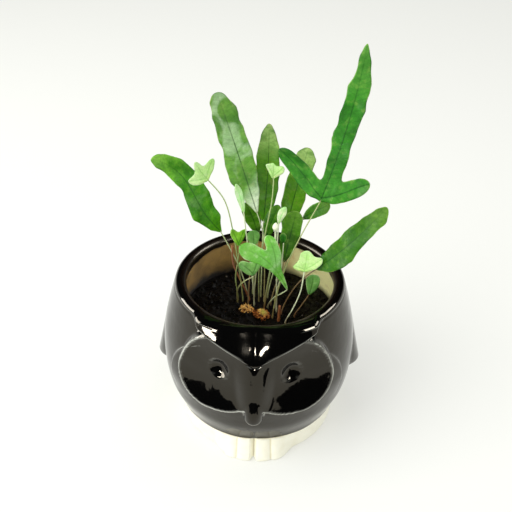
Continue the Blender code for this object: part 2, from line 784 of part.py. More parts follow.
def half_width(widths, u, tip):
    """Half-width at u from base to tip, closed to a round or pointed end over the share tip."""
    width = curve_value(widths, u)
    if u > 1.0 - tip:
        width *= math.sqrt(max(0.0, 1.0 - ((u - 1.0 + tip) / tip) ** 2))
    return max(width, 0.0)


def strap_outline(length, left, right, steps, tip):
    """Outline of a strap blade in its own plane: up the right edge and down the left edge."""
    shares = [(1.0 - tip) * i / steps for i in range(steps)]
    shares += [1.0 - tip + tip * math.sin(0.5 * math.pi * i / 3) for i in range(3)]
    outline = [(half_width(right, u, tip), u * length) for u in shares]
    outline.append((0.0, length))
    outline += [(-half_width(left, u, tip), u * length) for u in reversed(shares)]
    return outline


def lobe_outline(angle, length, widest, base):
    """Outline of a side lobe that leaves the midrib's foot at an angle."""
    scaled = [w * widest for w in (0.35, 0.82, 1.0, 1.0, 0.92, 0.75)]
    turn = math.radians(angle)
    tip = min(0.5, widest / length)
    outline = []
    for x, y in strap_outline(length, scaled, scaled, max(3, round(length / 5.0)), tip):
        along = y * math.cos(turn) - x * math.sin(turn)
        outline.append((x * math.cos(turn) + y * math.sin(turn), along + base))
    return outline


def flat_blade(frond, length):
    """Triangulate the union of a blade's main strap and side lobes in the flat."""
    left = frond["left"]
    right = frond["right"]
    tip = frond["tip"]
    outlines = [strap_outline(length, left, right, max(4, round(length / 4.5)), tip)]
    for angle, lobe_length, widest in frond.get("lobes", ()):
        outlines.append(lobe_outline(angle, lobe_length, widest, frond.get("lobe_base", 2.0)))
    points = []
    rings = []
    for outline in outlines:
        rings.append(list(range(len(points), len(points) + len(outline))))
        points.extend(outline)
    rows = max(3, round(length / 6.0))
    for i in range(1, rows):
        u = i / rows
        points.append((0.0, u * length))
        if min(half_width(left, u, tip), half_width(right, u, tip)) > 2.8:
            points.append((0.52 * half_width(right, u, tip), (u + 0.3 / rows) * length))
            points.append((-0.52 * half_width(left, u, tip), (u + 0.3 / rows) * length))
    found, _, triangles, _, _, _ = geometry.delaunay_2d_cdt(
        [Vector(p) for p in points], [], rings, 1, 0.0001
    )
    work = bmesh.new()
    corners = [work.verts.new((p[0], p[1], 0.0)) for p in found]
    for triangle in triangles:
        work.faces.new([corners[i] for i in triangle])
    bmesh.ops.remove_doubles(work, verts=work.verts, dist=0.45)
    bmesh.ops.dissolve_degenerate(work, edges=work.edges, dist=0.02)
    bmesh.ops.triangulate(work, faces=work.faces)
    loose = [v for v in work.verts if not v.link_faces]
    bmesh.ops.delete(work, geom=loose, context="VERTS")
    work.verts.index_update()
    work.normal_update()
    flat = [(v.co.x, v.co.y) for v in work.verts]
    faces = []
    for face in work.faces:
        a, b, c = [v.index for v in face.verts]
        faces.append((a, b, c) if face.normal.z > 0.0 else (a, c, b))
    work.free()
    return flat, faces


def rib_frame(frond, u):
    """Point, tangent, side and face direction on a blade's midrib, u from 0 at its base to 1."""
    base, middle, tip = [Vector(p) for p in frond["rib"]]
    control = 2.0 * middle - 0.5 * (base + tip)
    point = base * (1 - u) ** 2 + control * 2 * u * (1 - u) + tip * u**2
    tangent = ((control - base) * 2 * (1 - u) + (tip - control) * 2 * u).normalized()
    face = Vector(frond["face"])
    face = (face - tangent * face.dot(tangent)).normalized()
    face = Quaternion(tangent, math.radians(frond.get("twist", 0.0)) * u) @ face
    return point, tangent, tangent.cross(face), face


def blade_point(frond, length, x, y):
    """Bend a point of the flat blade onto the curved, troughed and waved blade."""
    u = y / length
    if 0.0 <= u <= 1.0:
        point, tangent, side, face = rib_frame(frond, u)
    else:
        point, tangent, side, face = rib_frame(frond, min(1.0, max(0.0, u)))
        point = point + tangent * (y - min(length, max(0.0, y)))
    edge = min(1.0, abs(x) / 5.0)
    phase = 0.0 if x > 0.0 else 1.9
    lift = frond["cup"] * edge * edge
    lift += frond["wave"] * edge * edge * math.sin(2.0 * math.pi * frond["waves"] * u + phase)
    lift -= frond.get("droop", 0.0) * (max(0.0, abs(x) - 5.0) / 10.0) ** 2
    sway = frond.get("sway", 0.0) * math.sin(2.0 * math.pi * min(1.0, max(0.0, u)))
    return point + side * (x + sway) + face * lift


def make_blade(frond):
    """Vertices and faces of a closed blade of even thickness, split alike on both faces."""
    length = sum(
        (rib_frame(frond, (i + 1) / 16)[0] - rib_frame(frond, i / 16)[0]).length for i in range(16)
    )
    flat, triangles = flat_blade(frond, length)
    vertices = []
    under = []
    for x, y in flat:
        point = blade_point(frond, length, x, y)
        along = blade_point(frond, length, x, y + 0.05) - blade_point(frond, length, x, y - 0.05)
        across = blade_point(frond, length, x + 0.05, y) - blade_point(frond, length, x - 0.05, y)
        normal = along.cross(across).normalized()
        vertices.append(point + normal * BLADE_THICKNESS / 2.0)
        under.append(point - normal * BLADE_THICKNESS / 2.0)
    count = len(flat)
    faces = []
    sides = {}
    for a, b, c in triangles:
        faces.append((a, b, c))
        faces.append((a + count, c + count, b + count))
        for edge in ((a, b), (b, c), (c, a)):
            sides[edge] = sides.get(edge, 0) + 1
    for a, b in sides:
        if (b, a) not in sides:
            faces.append((b, a, a + count))
            faces.append((b, a + count, b + count))
    return vertices + under, faces


def make_frond(frond):
    """Build one frond: its blade joined to the stalk that stands in the soil."""
    vertices, faces = make_blade(frond)
    blade = mesh_object(frond["name"], vertices, faces, frond["tone"])
    base, tangent, side, face = rib_frame(frond, 0.0)
    ends = [base - face * 0.12, base + tangent * 3.0 - face * 0.12]
    route = stalk_points(frond["foot"], frond["stalk"], ends)
    count = len(route)
    radii = [STALK_RADIUS - 0.12 * i / (count - 1) for i in range(count)]
    vertices, faces = tube(route, radii, STALK_SIDES)
    stalk = mesh_object(frond["name"] + "_stalk", vertices, faces, frond["tone"], hidden=True)
    join_by(blade, stalk, "UNION")
    return blade


def make_bare_stalk(stalk):
    """Build one leafless stalk that stands in the soil, with a thin or a budded end."""
    route = stalk_points(stalk["foot"], stalk["points"], ())
    radii = [stalk["radius"]] * len(route)
    radii[-1] = stalk["end_radius"]
    if stalk["end_radius"] > stalk["radius"]:
        tip = route[-1] + Vector((0.0, 0.0, BUD_LENGTH))
        route += [route[-1] + Vector((0.0, 0.0, 0.6 * BUD_LENGTH)), tip]
        radii += [stalk["end_radius"] * 0.8, 0.3]
    vertices, faces = tube(route, radii, STALK_SIDES)
    return mesh_object(stalk["name"], vertices, faces, stalk["tone"])


def rhizome_sweep(extra, sides, steps):
    """Sweep the lumpy creeping rhizome, thickened by an extra clearance."""
    knots = [Vector(p) for p in RHIZOME_PATH]
    count = (len(knots) - 1) * steps
    rows = []
    for i in range(count + 1):
        u = i / count
        point = Vector([curve_value([k[axis] for k in knots], u) for axis in range(3)])
        ahead = Vector([curve_value([k[axis] for k in knots], min(1.0, u + 0.02)) for axis in range(3)])
        behind = Vector([curve_value([k[axis] for k in knots], max(0.0, u - 0.02)) for axis in range(3)])
        tangent = (ahead - behind).normalized()
        side = tangent.cross(Vector((0.0, 0.0, 1.0))).normalized()
        upward = side.cross(tangent)
        radius = curve_value(RHIZOME_RADII, u)
        row = []
        for j in range(sides):
            turn = 2.0 * math.pi * j / sides
            bump = 0.14 * math.sin(5.0 * turn + 9.0 * u) + 0.12 * math.sin(23.0 * u + 2.0 * turn)
            reach = radius * (1.0 + 0.5 * bump) + extra
            row.append(point + (side * math.cos(turn) + upward * math.sin(turn)) * reach)
        rows.append(row)
    start = knots[0] - (knots[1] - knots[0]).normalized() * (0.9 + extra)
    end = knots[-1] + (knots[-1] - knots[-2]).normalized() * (0.9 + extra)
    return turned_shell(rows, sides, start, end)


def make_soil():
    """Build the soil that fills the pot, with a hole for each stalk and a bed for the rhizome."""
    noise = random.Random(7)
    phases = [noise.uniform(0.0, 6.3) for _ in range(6)]
    columns = 30

    def relief(x, y):
        wave = math.sin(0.42 * x + phases[0]) * math.cos(0.36 * y + phases[1])
        wave += 0.7 * math.sin(0.21 * x - 0.5 * y + phases[2])
        wave += 0.4 * math.sin(0.9 * x + 0.7 * y + phases[3])
        return SOIL_RELIEF * wave / 2.1

    rows = []
    for z in (POT_FLOOR + GAP, 11.0, 20.0, 32.0, 46.0, 56.0):
        radius = profile_radius(INNER_PROFILE, z) - GAP - 0.3
        rows.append([ring_point(radius, z, j, columns) for j in range(columns)])
    edge = profile_radius(INNER_PROFILE, SOIL_EDGE_TOP) - GAP - 0.3
    for radius in (edge, 38.0, 32.0, 26.0, 20.0, 14.0, 9.0, 4.5):
        row = []
        for j in range(columns):
            x, y, _ = ring_point(radius, 0.0, j, columns)
            mound = smooth_step(edge, 22.0, radius)
            top = SOIL_EDGE_TOP + (SOIL_TOP - SOIL_EDGE_TOP) * mound
            row.append((x, y, top + relief(x, y) * (0.3 + 0.7 * mound)))
        rows.append(row)
    vertices, faces = turned_shell(
        rows, columns, (0.0, 0.0, POT_FLOOR + GAP), (0.0, 0.0, SOIL_TOP + relief(0.0, 0.0))
    )
    soil = mesh_object("soil", vertices, faces, "soil")
    feet = [(frond["foot"], STALK_RADIUS) for frond in FRONDS]
    feet += [(stalk["foot"], stalk["radius"]) for stalk in BARE_STALKS]
    vertices = []
    faces = []
    for (x, y), radius in feet:
        reach = (radius + GAP) / math.cos(math.pi / HOLE_SIDES) + 0.03
        route = [Vector((x, y, SOIL_TOP - STALK_DEPTH - GAP)), Vector((x, y, SOIL_TOP + 3.0))]
        points, sides = tube(route, (reach, reach), HOLE_SIDES)
        start = len(vertices)
        vertices.extend(points)
        faces.extend(tuple(start + i for i in face) for face in sides)
    holes = mesh_object("stalk_holes", vertices, faces, "soil", hidden=True)
    join_by(soil, holes, "DIFFERENCE")
    vertices, faces = rhizome_sweep(GAP + 0.3, 10, 3)
    bed = mesh_object("rhizome_bed", vertices, faces, "soil", hidden=True)
    join_by(soil, bed, "DIFFERENCE")
    return soil


def ring_point(radius, z, index, count):
    """Point on a level ring round the pot's axis."""
    turn = 2.0 * math.pi * index / count
    return (radius * math.sin(turn), -radius * math.cos(turn), z)


def make_rhizome():
    """Build the creeping rhizome that lies half sunk in its bed."""
    vertices, faces = rhizome_sweep(0.0, 10, 3)
    return mesh_object("rhizome", vertices, faces, "rhizome")


def main():
    """Clear the scene, build every piece and hang it from one empty."""
    for item in list(bpy.data.objects):
        bpy.data.objects.remove(item)
    root = bpy.data.objects.new("potted_fern", None)
    bpy.context.collection.objects.link(root)
    pieces = [make_pot(), make_soil(), make_rhizome()]
    for frond in FRONDS:
        pieces.append(make_frond(frond))
    for stalk in BARE_STALKS:
        pieces.append(make_bare_stalk(stalk))
    for piece in pieces:
        piece.parent = root


main()
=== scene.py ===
"""Potted blue star fern: the glazed owl pot, the damp soil, the scaly rhizome and the fronds.

Laid out as an add-on and run as a script, it dresses the packed part. Sizes in the code are
millimetres in the part's own frame: +Z is up, the owl looks along -Y, and the origin is the middle of
the pot's flat base. Settings that a user changes are in metres, as Blender keeps lengths.
"""

import math
import random

import bmesh
import bpy
import numpy as np
from mathutils import Matrix, Quaternion, Vector, geometry, noise


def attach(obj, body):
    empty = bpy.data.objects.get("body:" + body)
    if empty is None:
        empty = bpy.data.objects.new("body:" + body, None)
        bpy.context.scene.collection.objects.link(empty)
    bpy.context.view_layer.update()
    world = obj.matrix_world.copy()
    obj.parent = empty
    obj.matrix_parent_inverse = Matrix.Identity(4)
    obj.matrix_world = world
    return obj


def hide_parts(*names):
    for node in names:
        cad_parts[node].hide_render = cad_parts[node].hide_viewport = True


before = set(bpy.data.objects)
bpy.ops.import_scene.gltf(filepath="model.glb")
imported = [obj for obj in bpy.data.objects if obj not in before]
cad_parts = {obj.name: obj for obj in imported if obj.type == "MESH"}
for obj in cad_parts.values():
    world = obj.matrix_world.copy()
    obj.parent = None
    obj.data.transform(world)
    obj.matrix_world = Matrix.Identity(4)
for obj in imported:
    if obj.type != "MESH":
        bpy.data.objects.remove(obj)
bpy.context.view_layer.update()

bl_info = {
    "name": "Potted blue star fern",
    "version": (1, 0, 0),
    "blender": (4, 5, 0),
    "location": "3D View > Sidebar > Fern",
    "description": "Builds the fine glazed pot, soil, rhizome and fronds over the packed part",
    "category": "Add Mesh",
}

MM = 0.001

# Pot: rim, wall and the turned profile of the body (height, radius)
POT_HEIGHT = 92.7
LIP_HEIGHT = 90.0
MOUTH_RADIUS = 40.0
POT_FLOOR = 7.0
GLAZE_EDGE_HEIGHT = 15.3
BODY_PROFILE = (
    (0.0, 44.7),
    (GLAZE_EDGE_HEIGHT, 46.8),
    (29.7, 51.7),
    (46.3, 53.6),
    (63.0, 52.6),
    (78.8, 49.2),
    (LIP_HEIGHT, 46.0),
)
INNER_PROFILE = (
    (POT_FLOOR, 39.0),
    (20.0, 43.0),
    (46.0, 46.0),
    (65.3, 43.3),
    (84.0, 40.6),
    (LIP_HEIGHT, MOUTH_RADIUS),
)
ARC_RADIUS = 51.0

# Owl's face, wings and feet
BROW_POINT_HEIGHT = 75.2
BROW_SLOPE = 0.5
BROW_CURVE = 0.0038
BROW_HALF_ARC = 32.0
BROW_CORNER = 5.0
BROW_STEP = 3.4
FOREHEAD_SLOPE = 0.14
FOREHEAD_BEND = 0.0075
EYE_ARC = 23.5
EYE_HEIGHT = 61.0
EYE_RADIUS = 17.7
EYE_RUN_OUT = 7.6
EYE_DISH_DEPTH = 5.2
PUPIL_ARC = 19.2
PUPIL_HEIGHT = 67.0
PUPIL_RADIUS = 5.8
PUPIL_DEPTH = 2.7
MASK_HEIGHT = 3.0
MASK_FALL = 3.0
CHEEK_ARC = 19.5
CHEEK_CENTRE = 47.0
CHEEK_RADIUS = 33.0
CHEEK_HEIGHT = 1.4
NOSE_TOP = 74.0
NOSE_TOP_HEIGHT = 3.0
NOSE_GAIN = 0.1
NOSE_HALF_WIDTH = 7.8
NOSE_END = 39.0
NOSE_BLEND = 3.0
BEAK_HEIGHT = 43.8
BEAK_HALF_WIDTH = 5.0
BEAK_DROP = 5.4
BEAK_RISE = 14.0
BEAK_STAND_OFF = 8.2
RING_BEAD = 0.25
RING_BEAD_WIDTH = 0.45
WING_ANGLE = math.radians(97.0)
WING_TOP = 73.0
WING_TIP = 26.0
WING_HALF_WIDTH = 11.5
WING_STAND_OFF = 10.4
FOOT_HALF_ANGLE = math.radians(28.0)
FOOT_STAND_OFF = 5.2
TOE_ANGLE = math.radians(11.2)

# Finishes of the pot, how far the black glaze stands off the cream one and off the clay inside, the
# heights where the clay turns dry and soaked, with painted shade darkening it towards the soil, and the
# painted light on the side of the mouth that faces the light: how far it rises, and its middle, reach and
# fading in degrees
GLAZE, CREAM, CLAY = 0, 1, 2
GLAZE_STEP = 0.12
CLAY_STEP = 0.25
DRY_UNSHADED_HEIGHT = 74.0
SOAKED_SHADED_HEIGHT = 64.0
PAINTED_LIGHT_RISE = 6.0
PAINTED_LIGHT_MIDDLE = 112.0
PAINTED_LIGHT_REACH = 56.0
PAINTED_LIGHT_FADE = 22.0

# Pot's mesh: columns (up to an angle in degrees, and how wide they are up to there), rows on the feet,
# from them to the brow and from the brow to the lip, and the heights of the inside's lower rows
COLUMN_STEPS = ((68.0, 0.8), (118.0, 1.2), (180.0, 2.2))
FOOT_ROWS = 18
BODY_ROWS = 84
FOREHEAD_ROWS = 10
INNER_ROWS = (56.0, 46.0, 32.0, 20.0, 11.0)

# Edge mark of a point that is away from every ring of the face
FAR = 9.0

# Soil and rhizome
SOIL_TOP = 69.6
SOIL_EDGE_TOP = 65.3
SOIL_RELIEF = 0.7
GAP = 0.3
SOIL_MARGIN = 0.3
SOIL_SPACING = 0.62
CRUMB_SPREAD = 40.6
CRUMB_LIMIT = 41.4
CRUMB_ROUGHNESS = 0.7
RHIZOME_PATH = (
    (-10.0, -1.0, 68.8),
    (-6.4, -2.6, 69.3),
    (-2.0, -4.9, 68.2),
    (2.4, -6.8, 69.2),
    (6.0, -7.6, 68.6),
)
RHIZOME_RADII = (1.5, 2.4, 1.7, 3.2, 1.6)
GROWING_POINT = (3.0, -7.0, 72.4)
SCALE_LENGTHS = (0.9, 2.1)
SCALE_HALF_WIDTHS = (0.16, 0.34)
SCALE_THICKNESS = 0.06

# Stalks, and the fine blades: spacing of the outline, how far the mesh's other points keep from the
# margin and from the midrib, and the midrib's groove on top and its keel underneath
STALK_DEPTH = 6.0
STALK_RADIUS = 0.38
STALK_SIDES = 10
STALK_STEP = 1.4
BUD_LENGTH = 5.4
OUTLINE_SPACING = 0.62
MARGIN_CLEARANCE = 0.36
RIB_CLEARANCE = 0.75
RIB_HALF_WIDTH = 0.42
GROOVE_DEPTH = 0.16
KEEL_DEPTH = 0.3
KEEL_HALF_WIDTH = 0.5

# Fronds. Each has its foot in the soil, the points its stalk passes, the points its blade's midrib
# passes (base, middle, tip), the half-widths on the left and right of the midrib from base to tip,
# side lobes (angle from the midrib in degrees, length, half-width), how far up the midrib they leave it,
# the share of rounded tip, the sideways sway of the blade, the way it faces, the trough across it, the
# wave of its edges, the number of waves, the slant of its bands of colour, its leaf colour, and its
# stalk's shade where that isn't the usual one of such a leaf.
FRONDS = (
    {
        "name": "frond_left", "foot": (-7.0, 9.0), "stalk": ((-11.5, 8.5, 90.0), (-17.5, 7.0, 106.0)),
        "rib": ((-21.5, 6.0, 115.4), (-35.2, 1.0, 142.4), (-53.3, -6.0, 163.5)),
        "left": (0.6, 3.1, 4.5, 6.0, 7.4, 6.5, 5.3, 5.1, 5.3, 5.2, 4.1, 3.3, 3.0),
        "right": (0.6, 3.4, 5.9, 6.7, 7.5, 7.5, 7.6, 7.4, 6.4, 5.6, 5.3, 4.2, 3.6),
        "tip": 0.09, "sway": -2.3, "face": (0.35, -0.75, 0.55), "cup": 0.9, "wave": 0.8, "waves": 3.0,
        "leaf": "strap_green", "stalk_shade": 0.75,
    },
    {
        "name": "frond_tall_left",
        "foot": (-3.4, 9.6),
        "stalk": ((-2.2, 9.8, 90.0), (1.2, 9.2, 109.0), (-0.6, 8.9, 119.5)),
        "rib": ((-2.6, 8.0, 126.9), (-13.2, 10.0, 161.4), (-22.5, 6.0, 193.2)),
        "left": (0.6, 3.2, 5.1, 7.4, 8.2, 7.9, 6.8, 6.7, 6.9, 6.0, 5.7, 5.0, 4.6),
        "right": (0.6, 3.0, 4.6, 5.8, 6.6, 7.2, 7.2, 7.1, 6.6, 6.2, 6.8, 5.4, 4.6),
        "tip": 0.1, "face": (-0.1, -0.85, 0.5), "cup": 0.8, "wave": 0.5, "waves": 2.5, "slant": 0.9,
        "leaf": "waxy_green",
    },
    {
        "name": "frond_centre", "foot": (0.4, 9.8), "stalk": ((0.4, 12.0, 92.0), (0.5, 13.2, 106.0)),
        "rib": ((0.6, 13.6, 118.0), (2.2, 17.4, 146.0), (2.1, 18.0, 173.0)),
        "left": (0.6, 4.6, 5.6, 6.2, 6.0, 4.8, 3.2), "right": (0.6, 4.6, 5.8, 6.2, 5.6, 4.6, 3.0),
        "tip": 0.22, "face": (0.0, -0.9, 0.45), "cup": 1.0, "wave": 0.5, "waves": 2.0,
        "leaf": "olive_green",
    },
    {
        "name": "frond_back_right", "foot": (4.2, 9.4), "stalk": ((7.5, 12.5, 88.0), (10.6, 15.0, 99.0)),
        "rib": ((12.6, 16.0, 107.9), (17.5, 24.5, 132.0), (23.2, 30.0, 154.5)),
        "left": (0.6, 4.2, 5.8, 6.2, 6.0, 5.6, 4.8), "right": (0.6, 4.0, 5.6, 6.0, 5.8, 5.6, 4.6),
        "tip": 0.12, "face": (-0.1, -0.85, 0.5), "cup": 0.8, "wave": 0.5, "waves": 2.0,
        "leaf": "olive_green",
    },
    {
        "name": "frond_three_lobed",
        "foot": (7.6, -8.6),
        "stalk": ((9.6, -9.4, 88.0), (13.6, -10.0, 106.0), (20.4, -9.0, 125.0)),
        "rib": ((28.8, -6.0, 143.3), (38.4, -8.0, 185.0), (44.7, 2.0, 219.6)),
        "left": (0.8, 3.0, 3.3, 3.7, 4.0, 5.3, 4.6, 4.6, 4.4, 4.2, 2.3, 2.5, 0.9),
        "right": (0.8, 3.6, 5.3, 5.3, 5.1, 4.5, 5.0, 5.6, 5.5, 5.4, 4.2, 2.4, 0.5),
        "lobes": ((-60.0, 31.5, 5.0), (49.0, 24.6, 4.3)),
        "tip": 0.04, "face": (-0.1, -0.8, 0.6), "cup": 0.5, "wave": 0.9, "waves": 3.5,
        "leaf": "blue_green", "stalk_shade": 0.5,
    },
    {
        "name": "frond_low_right", "foot": (8.4, 6.6), "stalk": ((12.5, 9.0, 90.0), (17.0, 9.6, 108.0)),
        "rib": ((21.5, 8.0, 124.4), (27.8, 6.4, 130.6), (34.8, 4.6, 135.4)),
        "left": (0.6, 2.8, 3.4, 3.4, 2.8), "right": (0.6, 2.8, 3.6, 3.6, 3.0),
        "tip": 0.2, "face": (-0.2, -0.8, 0.6), "cup": 0.8, "wave": 0.2, "waves": 2.0,
        "leaf": "leather_green",
    },
    {
        "name": "frond_right", "foot": (12.4, -4.6), "stalk": ((15.5, -5.4, 82.0), (21.5, -8.6, 96.0)),
        "rib": ((29.0, -12.0, 106.8), (45.0, -12.8, 123.9), (61.0, -11.3, 144.7)),
        "left": (0.6, 3.4, 4.8, 5.0, 5.3, 5.8, 6.5, 6.2, 5.6, 5.4, 4.4, 3.6, 2.6),
        "right": (0.6, 3.6, 5.8, 7.2, 7.8, 7.8, 6.8, 5.0, 5.2, 5.4, 4.8, 4.6, 3.4),
        "tip": 0.1, "face": (-0.45, -0.7, 0.6), "cup": 0.7, "wave": 0.7, "waves": 3.0,
        "leaf": "leather_green", "stalk_shade": 0.12,
    },
    {
        "name": "frond_mid_right", "foot": (6.2, 3.2), "stalk": ((8.6, 2.6, 84.0), (11.2, 1.2, 94.0)),
        "rib": ((12.4, 0.0, 101.8), (15.0, 2.0, 116.0), (17.8, 5.0, 130.8)),
        "left": (0.6, 3.2, 4.6, 5.2, 5.2, 4.6), "right": (0.6, 3.0, 4.2, 4.8, 4.6, 4.0),
        "tip": 0.14, "face": (0.0, -0.85, 0.5), "cup": 0.8, "wave": 0.5, "waves": 2.0,
        "leaf": "deep_green", "stalk_shade": 0.3,
    },
    {
        "name": "frond_mid_left", "foot": (-4.4, 13.4), "stalk": ((-3.4, 15.4, 90.0), (-2.4, 16.0, 101.0)),
        "rib": ((-2.2, 16.2, 108.0), (-5.2, 17.0, 118.0), (-9.4, 18.0, 126.9)),
        "left": (0.6, 3.2, 4.2, 4.2, 3.4), "right": (0.6, 3.2, 4.4, 4.4, 3.4),
        "tip": 0.2, "face": (0.0, -0.85, 0.5), "cup": 0.8, "wave": 0.2, "waves": 1.5,
        "leaf": "deep_green",
    },
    {
        "name": "frond_mid_centre", "foot": (2.4, 5.4), "stalk": ((2.2, 6.2, 90.0), (2.2, 6.0, 104.0)),
        "rib": ((2.6, 5.0, 112.8), (5.2, 5.4, 123.6), (8.7, 8.0, 132.2)),
        "left": (0.6, 2.8, 3.8, 3.6, 2.6), "right": (0.6, 2.6, 3.4, 3.4, 2.6),
        "tip": 0.25, "face": (0.0, -0.85, 0.5), "cup": 0.8, "wave": 0.2, "waves": 1.5,
        "leaf": "leather_green",
    },
    {
        "name": "young_star_left",
        "foot": (-9.6, 5.4),
        "stalk": ((-11.8, 2.4, 96.0), (-14.6, -1.0, 121.0), (-18.6, -5.0, 142.0)),
        "rib": ((-25.5, -8.0, 153.8), (-29.0, -10.2, 160.0), (-31.4, -12.0, 165.9)),
        "left": (0.5, 2.6, 2.6, 2.0, 1.1), "right": (0.5, 2.4, 2.2, 1.8, 1.0),
        "lobes": ((-52.0, 9.5, 2.3), (52.0, 10.5, 2.6)),
        "tip": 0.2, "face": (0.1, -0.75, 0.65), "cup": 0.3, "wave": 0.2, "waves": 1.0,
        "leaf": "lime_green", "stalk_shade": 0.6,
    },
    {
        "name": "young_centre",
        "foot": (-0.6, 5.8),
        "stalk": ((-0.6, 3.4, 98.0), (2.6, 0.4, 122.0), (5.0, 0.2, 139.0)),
        "rib": ((5.5, 0.8, 151.0), (4.1, 0.6, 156.0), (1.4, 0.4, 160.2)),
        "left": (0.5, 1.2, 1.2, 0.9), "right": (0.5, 1.3, 1.2, 0.9),
        "lobes": ((68.0, 7.0, 1.7), (24.0, 7.4, 1.0)),
        "tip": 0.3, "face": (0.0, -0.8, 0.6), "cup": 0.6, "wave": 0.2, "waves": 1.0,
        "leaf": "lime_green", "stalk_shade": 0.62,
    },
    {
        "name": "young_left", "foot": (-12.6, 7.4), "stalk": ((-13.6, 4.0, 88.0), (-12.0, 0.0, 101.0)),
        "rib": ((-11.1, -2.0, 112.2), (-12.8, -3.0, 118.0), (-14.9, -4.0, 124.0)),
        "left": (0.5, 1.6, 2.0, 1.6), "right": (0.5, 1.8, 2.0, 1.6),
        "lobes": ((37.0, 9.5, 1.7),),
        "tip": 0.25, "face": (0.1, -0.8, 0.6), "cup": 0.6, "wave": 0.2, "waves": 1.0,
        "leaf": "apple_green",
    },
    {
        "name": "young_front", "foot": (4.6, 0.2), "stalk": ((8.0, -4.6, 81.0), (12.4, -11.6, 90.0)),
        "rib": ((14.7, -14.4, 94.6), (4.4, -17.4, 113.8), (-10.4, -17.0, 121.6)),
        "left": (0.5, 1.5, 2.3, 3.2, 4.4, 4.7, 3.9), "right": (0.5, 1.6, 2.6, 3.0, 3.8, 3.9, 3.3),
        "lobes": ((34.0, 19.0, 3.2),), "lobe_base": 12.5,
        "tip": 0.12, "face": (-0.1, -0.75, 0.65), "cup": 0.6, "wave": 0.5, "waves": 2.0,
        "leaf": "fresh_green", "stalk_shade": 0.8,
    },
    {
        "name": "young_low_left", "foot": (-12.4, 2.6), "stalk": ((-12.0, -2.6, 84.0), (-8.0, -8.0, 94.0)),
        "rib": ((-2.6, -9.5, 99.0), (-6.0, -9.8, 103.4), (-10.6, -10.4, 107.6)),
        "left": (0.5, 2.4, 2.8, 2.4), "right": (0.5, 2.4, 2.8, 2.4),
        "lobes": ((62.0, 7.6, 2.1),),
        "tip": 0.25, "face": (0.0, -0.8, 0.6), "cup": 0.5, "wave": 0.3, "waves": 1.5,
        "leaf": "shade_green",
    },
    {
        "name": "young_lime", "foot": (14.8, -12.2), "stalk": ((18.0, -14.4, 81.0), (21.8, -15.4, 95.0)),
        "rib": ((22.9, -15.0, 106.4), (23.6, -13.6, 112.0), (23.8, -12.0, 118.0)),
        "left": (0.5, 3.2, 3.6, 3.4), "right": (0.5, 3.4, 3.6, 3.4),
        "lobes": ((-78.0, 6.4, 2.2), (50.0, 10.4, 2.4)),
        "tip": 0.25, "face": (0.0, -0.75, 0.65), "cup": 0.3, "wave": 0.3, "waves": 1.0,
        "leaf": "lime_green", "stalk_shade": 0.95,
    },
    {
        "name": "young_dark_right", "foot": (19.6, -6.6), "stalk": ((22.6, -7.6, 78.0),),
        "rib": ((26.6, -8.6, 87.2), (27.8, -9.6, 95.2), (27.8, -9.8, 101.6)),
        "left": (0.5, 2.8, 3.5, 3.0), "right": (0.5, 3.0, 3.9, 3.4),
        "tip": 0.25, "face": (0.0, -0.75, 0.65), "cup": 0.5, "wave": 0.2, "waves": 1.0,
        "leaf": "shade_green", "stalk_shade": 0.1,
    },
    {
        "name": "young_round", "foot": (-6.4, 3.0), "stalk": ((-5.6, 3.0, 92.0), (-4.2, 2.6, 104.0)),
        "rib": ((-3.7, 2.6, 109.6), (-4.0, 3.0, 114.6), (-4.4, 3.4, 119.0)),
        "left": (0.5, 2.8, 3.4, 3.2), "right": (0.5, 2.8, 3.4, 3.2),
        "tip": 0.35, "face": (0.0, -0.85, 0.5), "cup": 0.4, "wave": 0.2, "waves": 1.0,
        "leaf": "shade_green", "stalk_shade": 0.2,
    },
    {
        "name": "young_folded", "foot": (9.6, -2.2), "stalk": ((9.0, -3.4, 92.0), (8.6, -4.4, 112.0)),
        "rib": ((9.0, -4.0, 128.6), (10.2, -4.0, 133.6), (12.2, -4.2, 138.6)),
        "left": (0.5, 1.8, 2.2, 1.4), "right": (0.5, 1.6, 2.0, 1.2),
        "tip": 0.3, "face": (0.2, -0.8, 0.6), "cup": 1.2, "wave": 0.1, "waves": 1.0, "leaf": "mint_green",
    },
    {
        "name": "young_narrow", "foot": (-3.0, 2.2), "stalk": ((-4.6, -1.0, 96.0), (-7.0, -3.0, 116.0)),
        "rib": ((-8.9, -3.5, 134.1), (-10.5, -3.5, 142.0), (-12.8, -4.0, 150.6)),
        "left": (0.5, 1.4, 1.8, 2.0, 1.4), "right": (0.5, 1.4, 1.7, 1.8, 1.2),
        "tip": 0.3, "face": (0.2, -0.8, 0.5), "cup": 0.6, "wave": 0.2, "waves": 1.0,
        "leaf": "mint_green", "stalk_shade": 0.85,
    },
    {
        "name": "young_teal", "foot": (8.8, 1.4), "stalk": ((10.5, -1.2, 89.0), (11.5, -3.2, 105.6)),
        "rib": ((11.8, -4.2, 116.8), (11.5, -4.6, 120.2), (11.2, -5.0, 123.6)),
        "left": (0.5, 1.6, 1.8, 1.4), "right": (0.5, 1.6, 1.8, 1.4),
        "tip": 0.3, "face": (0.0, -0.8, 0.6), "cup": 0.8, "wave": 0.3, "waves": 1.5,
        "leaf": "blue_green", "stalk_shade": 0.9,
    },
)

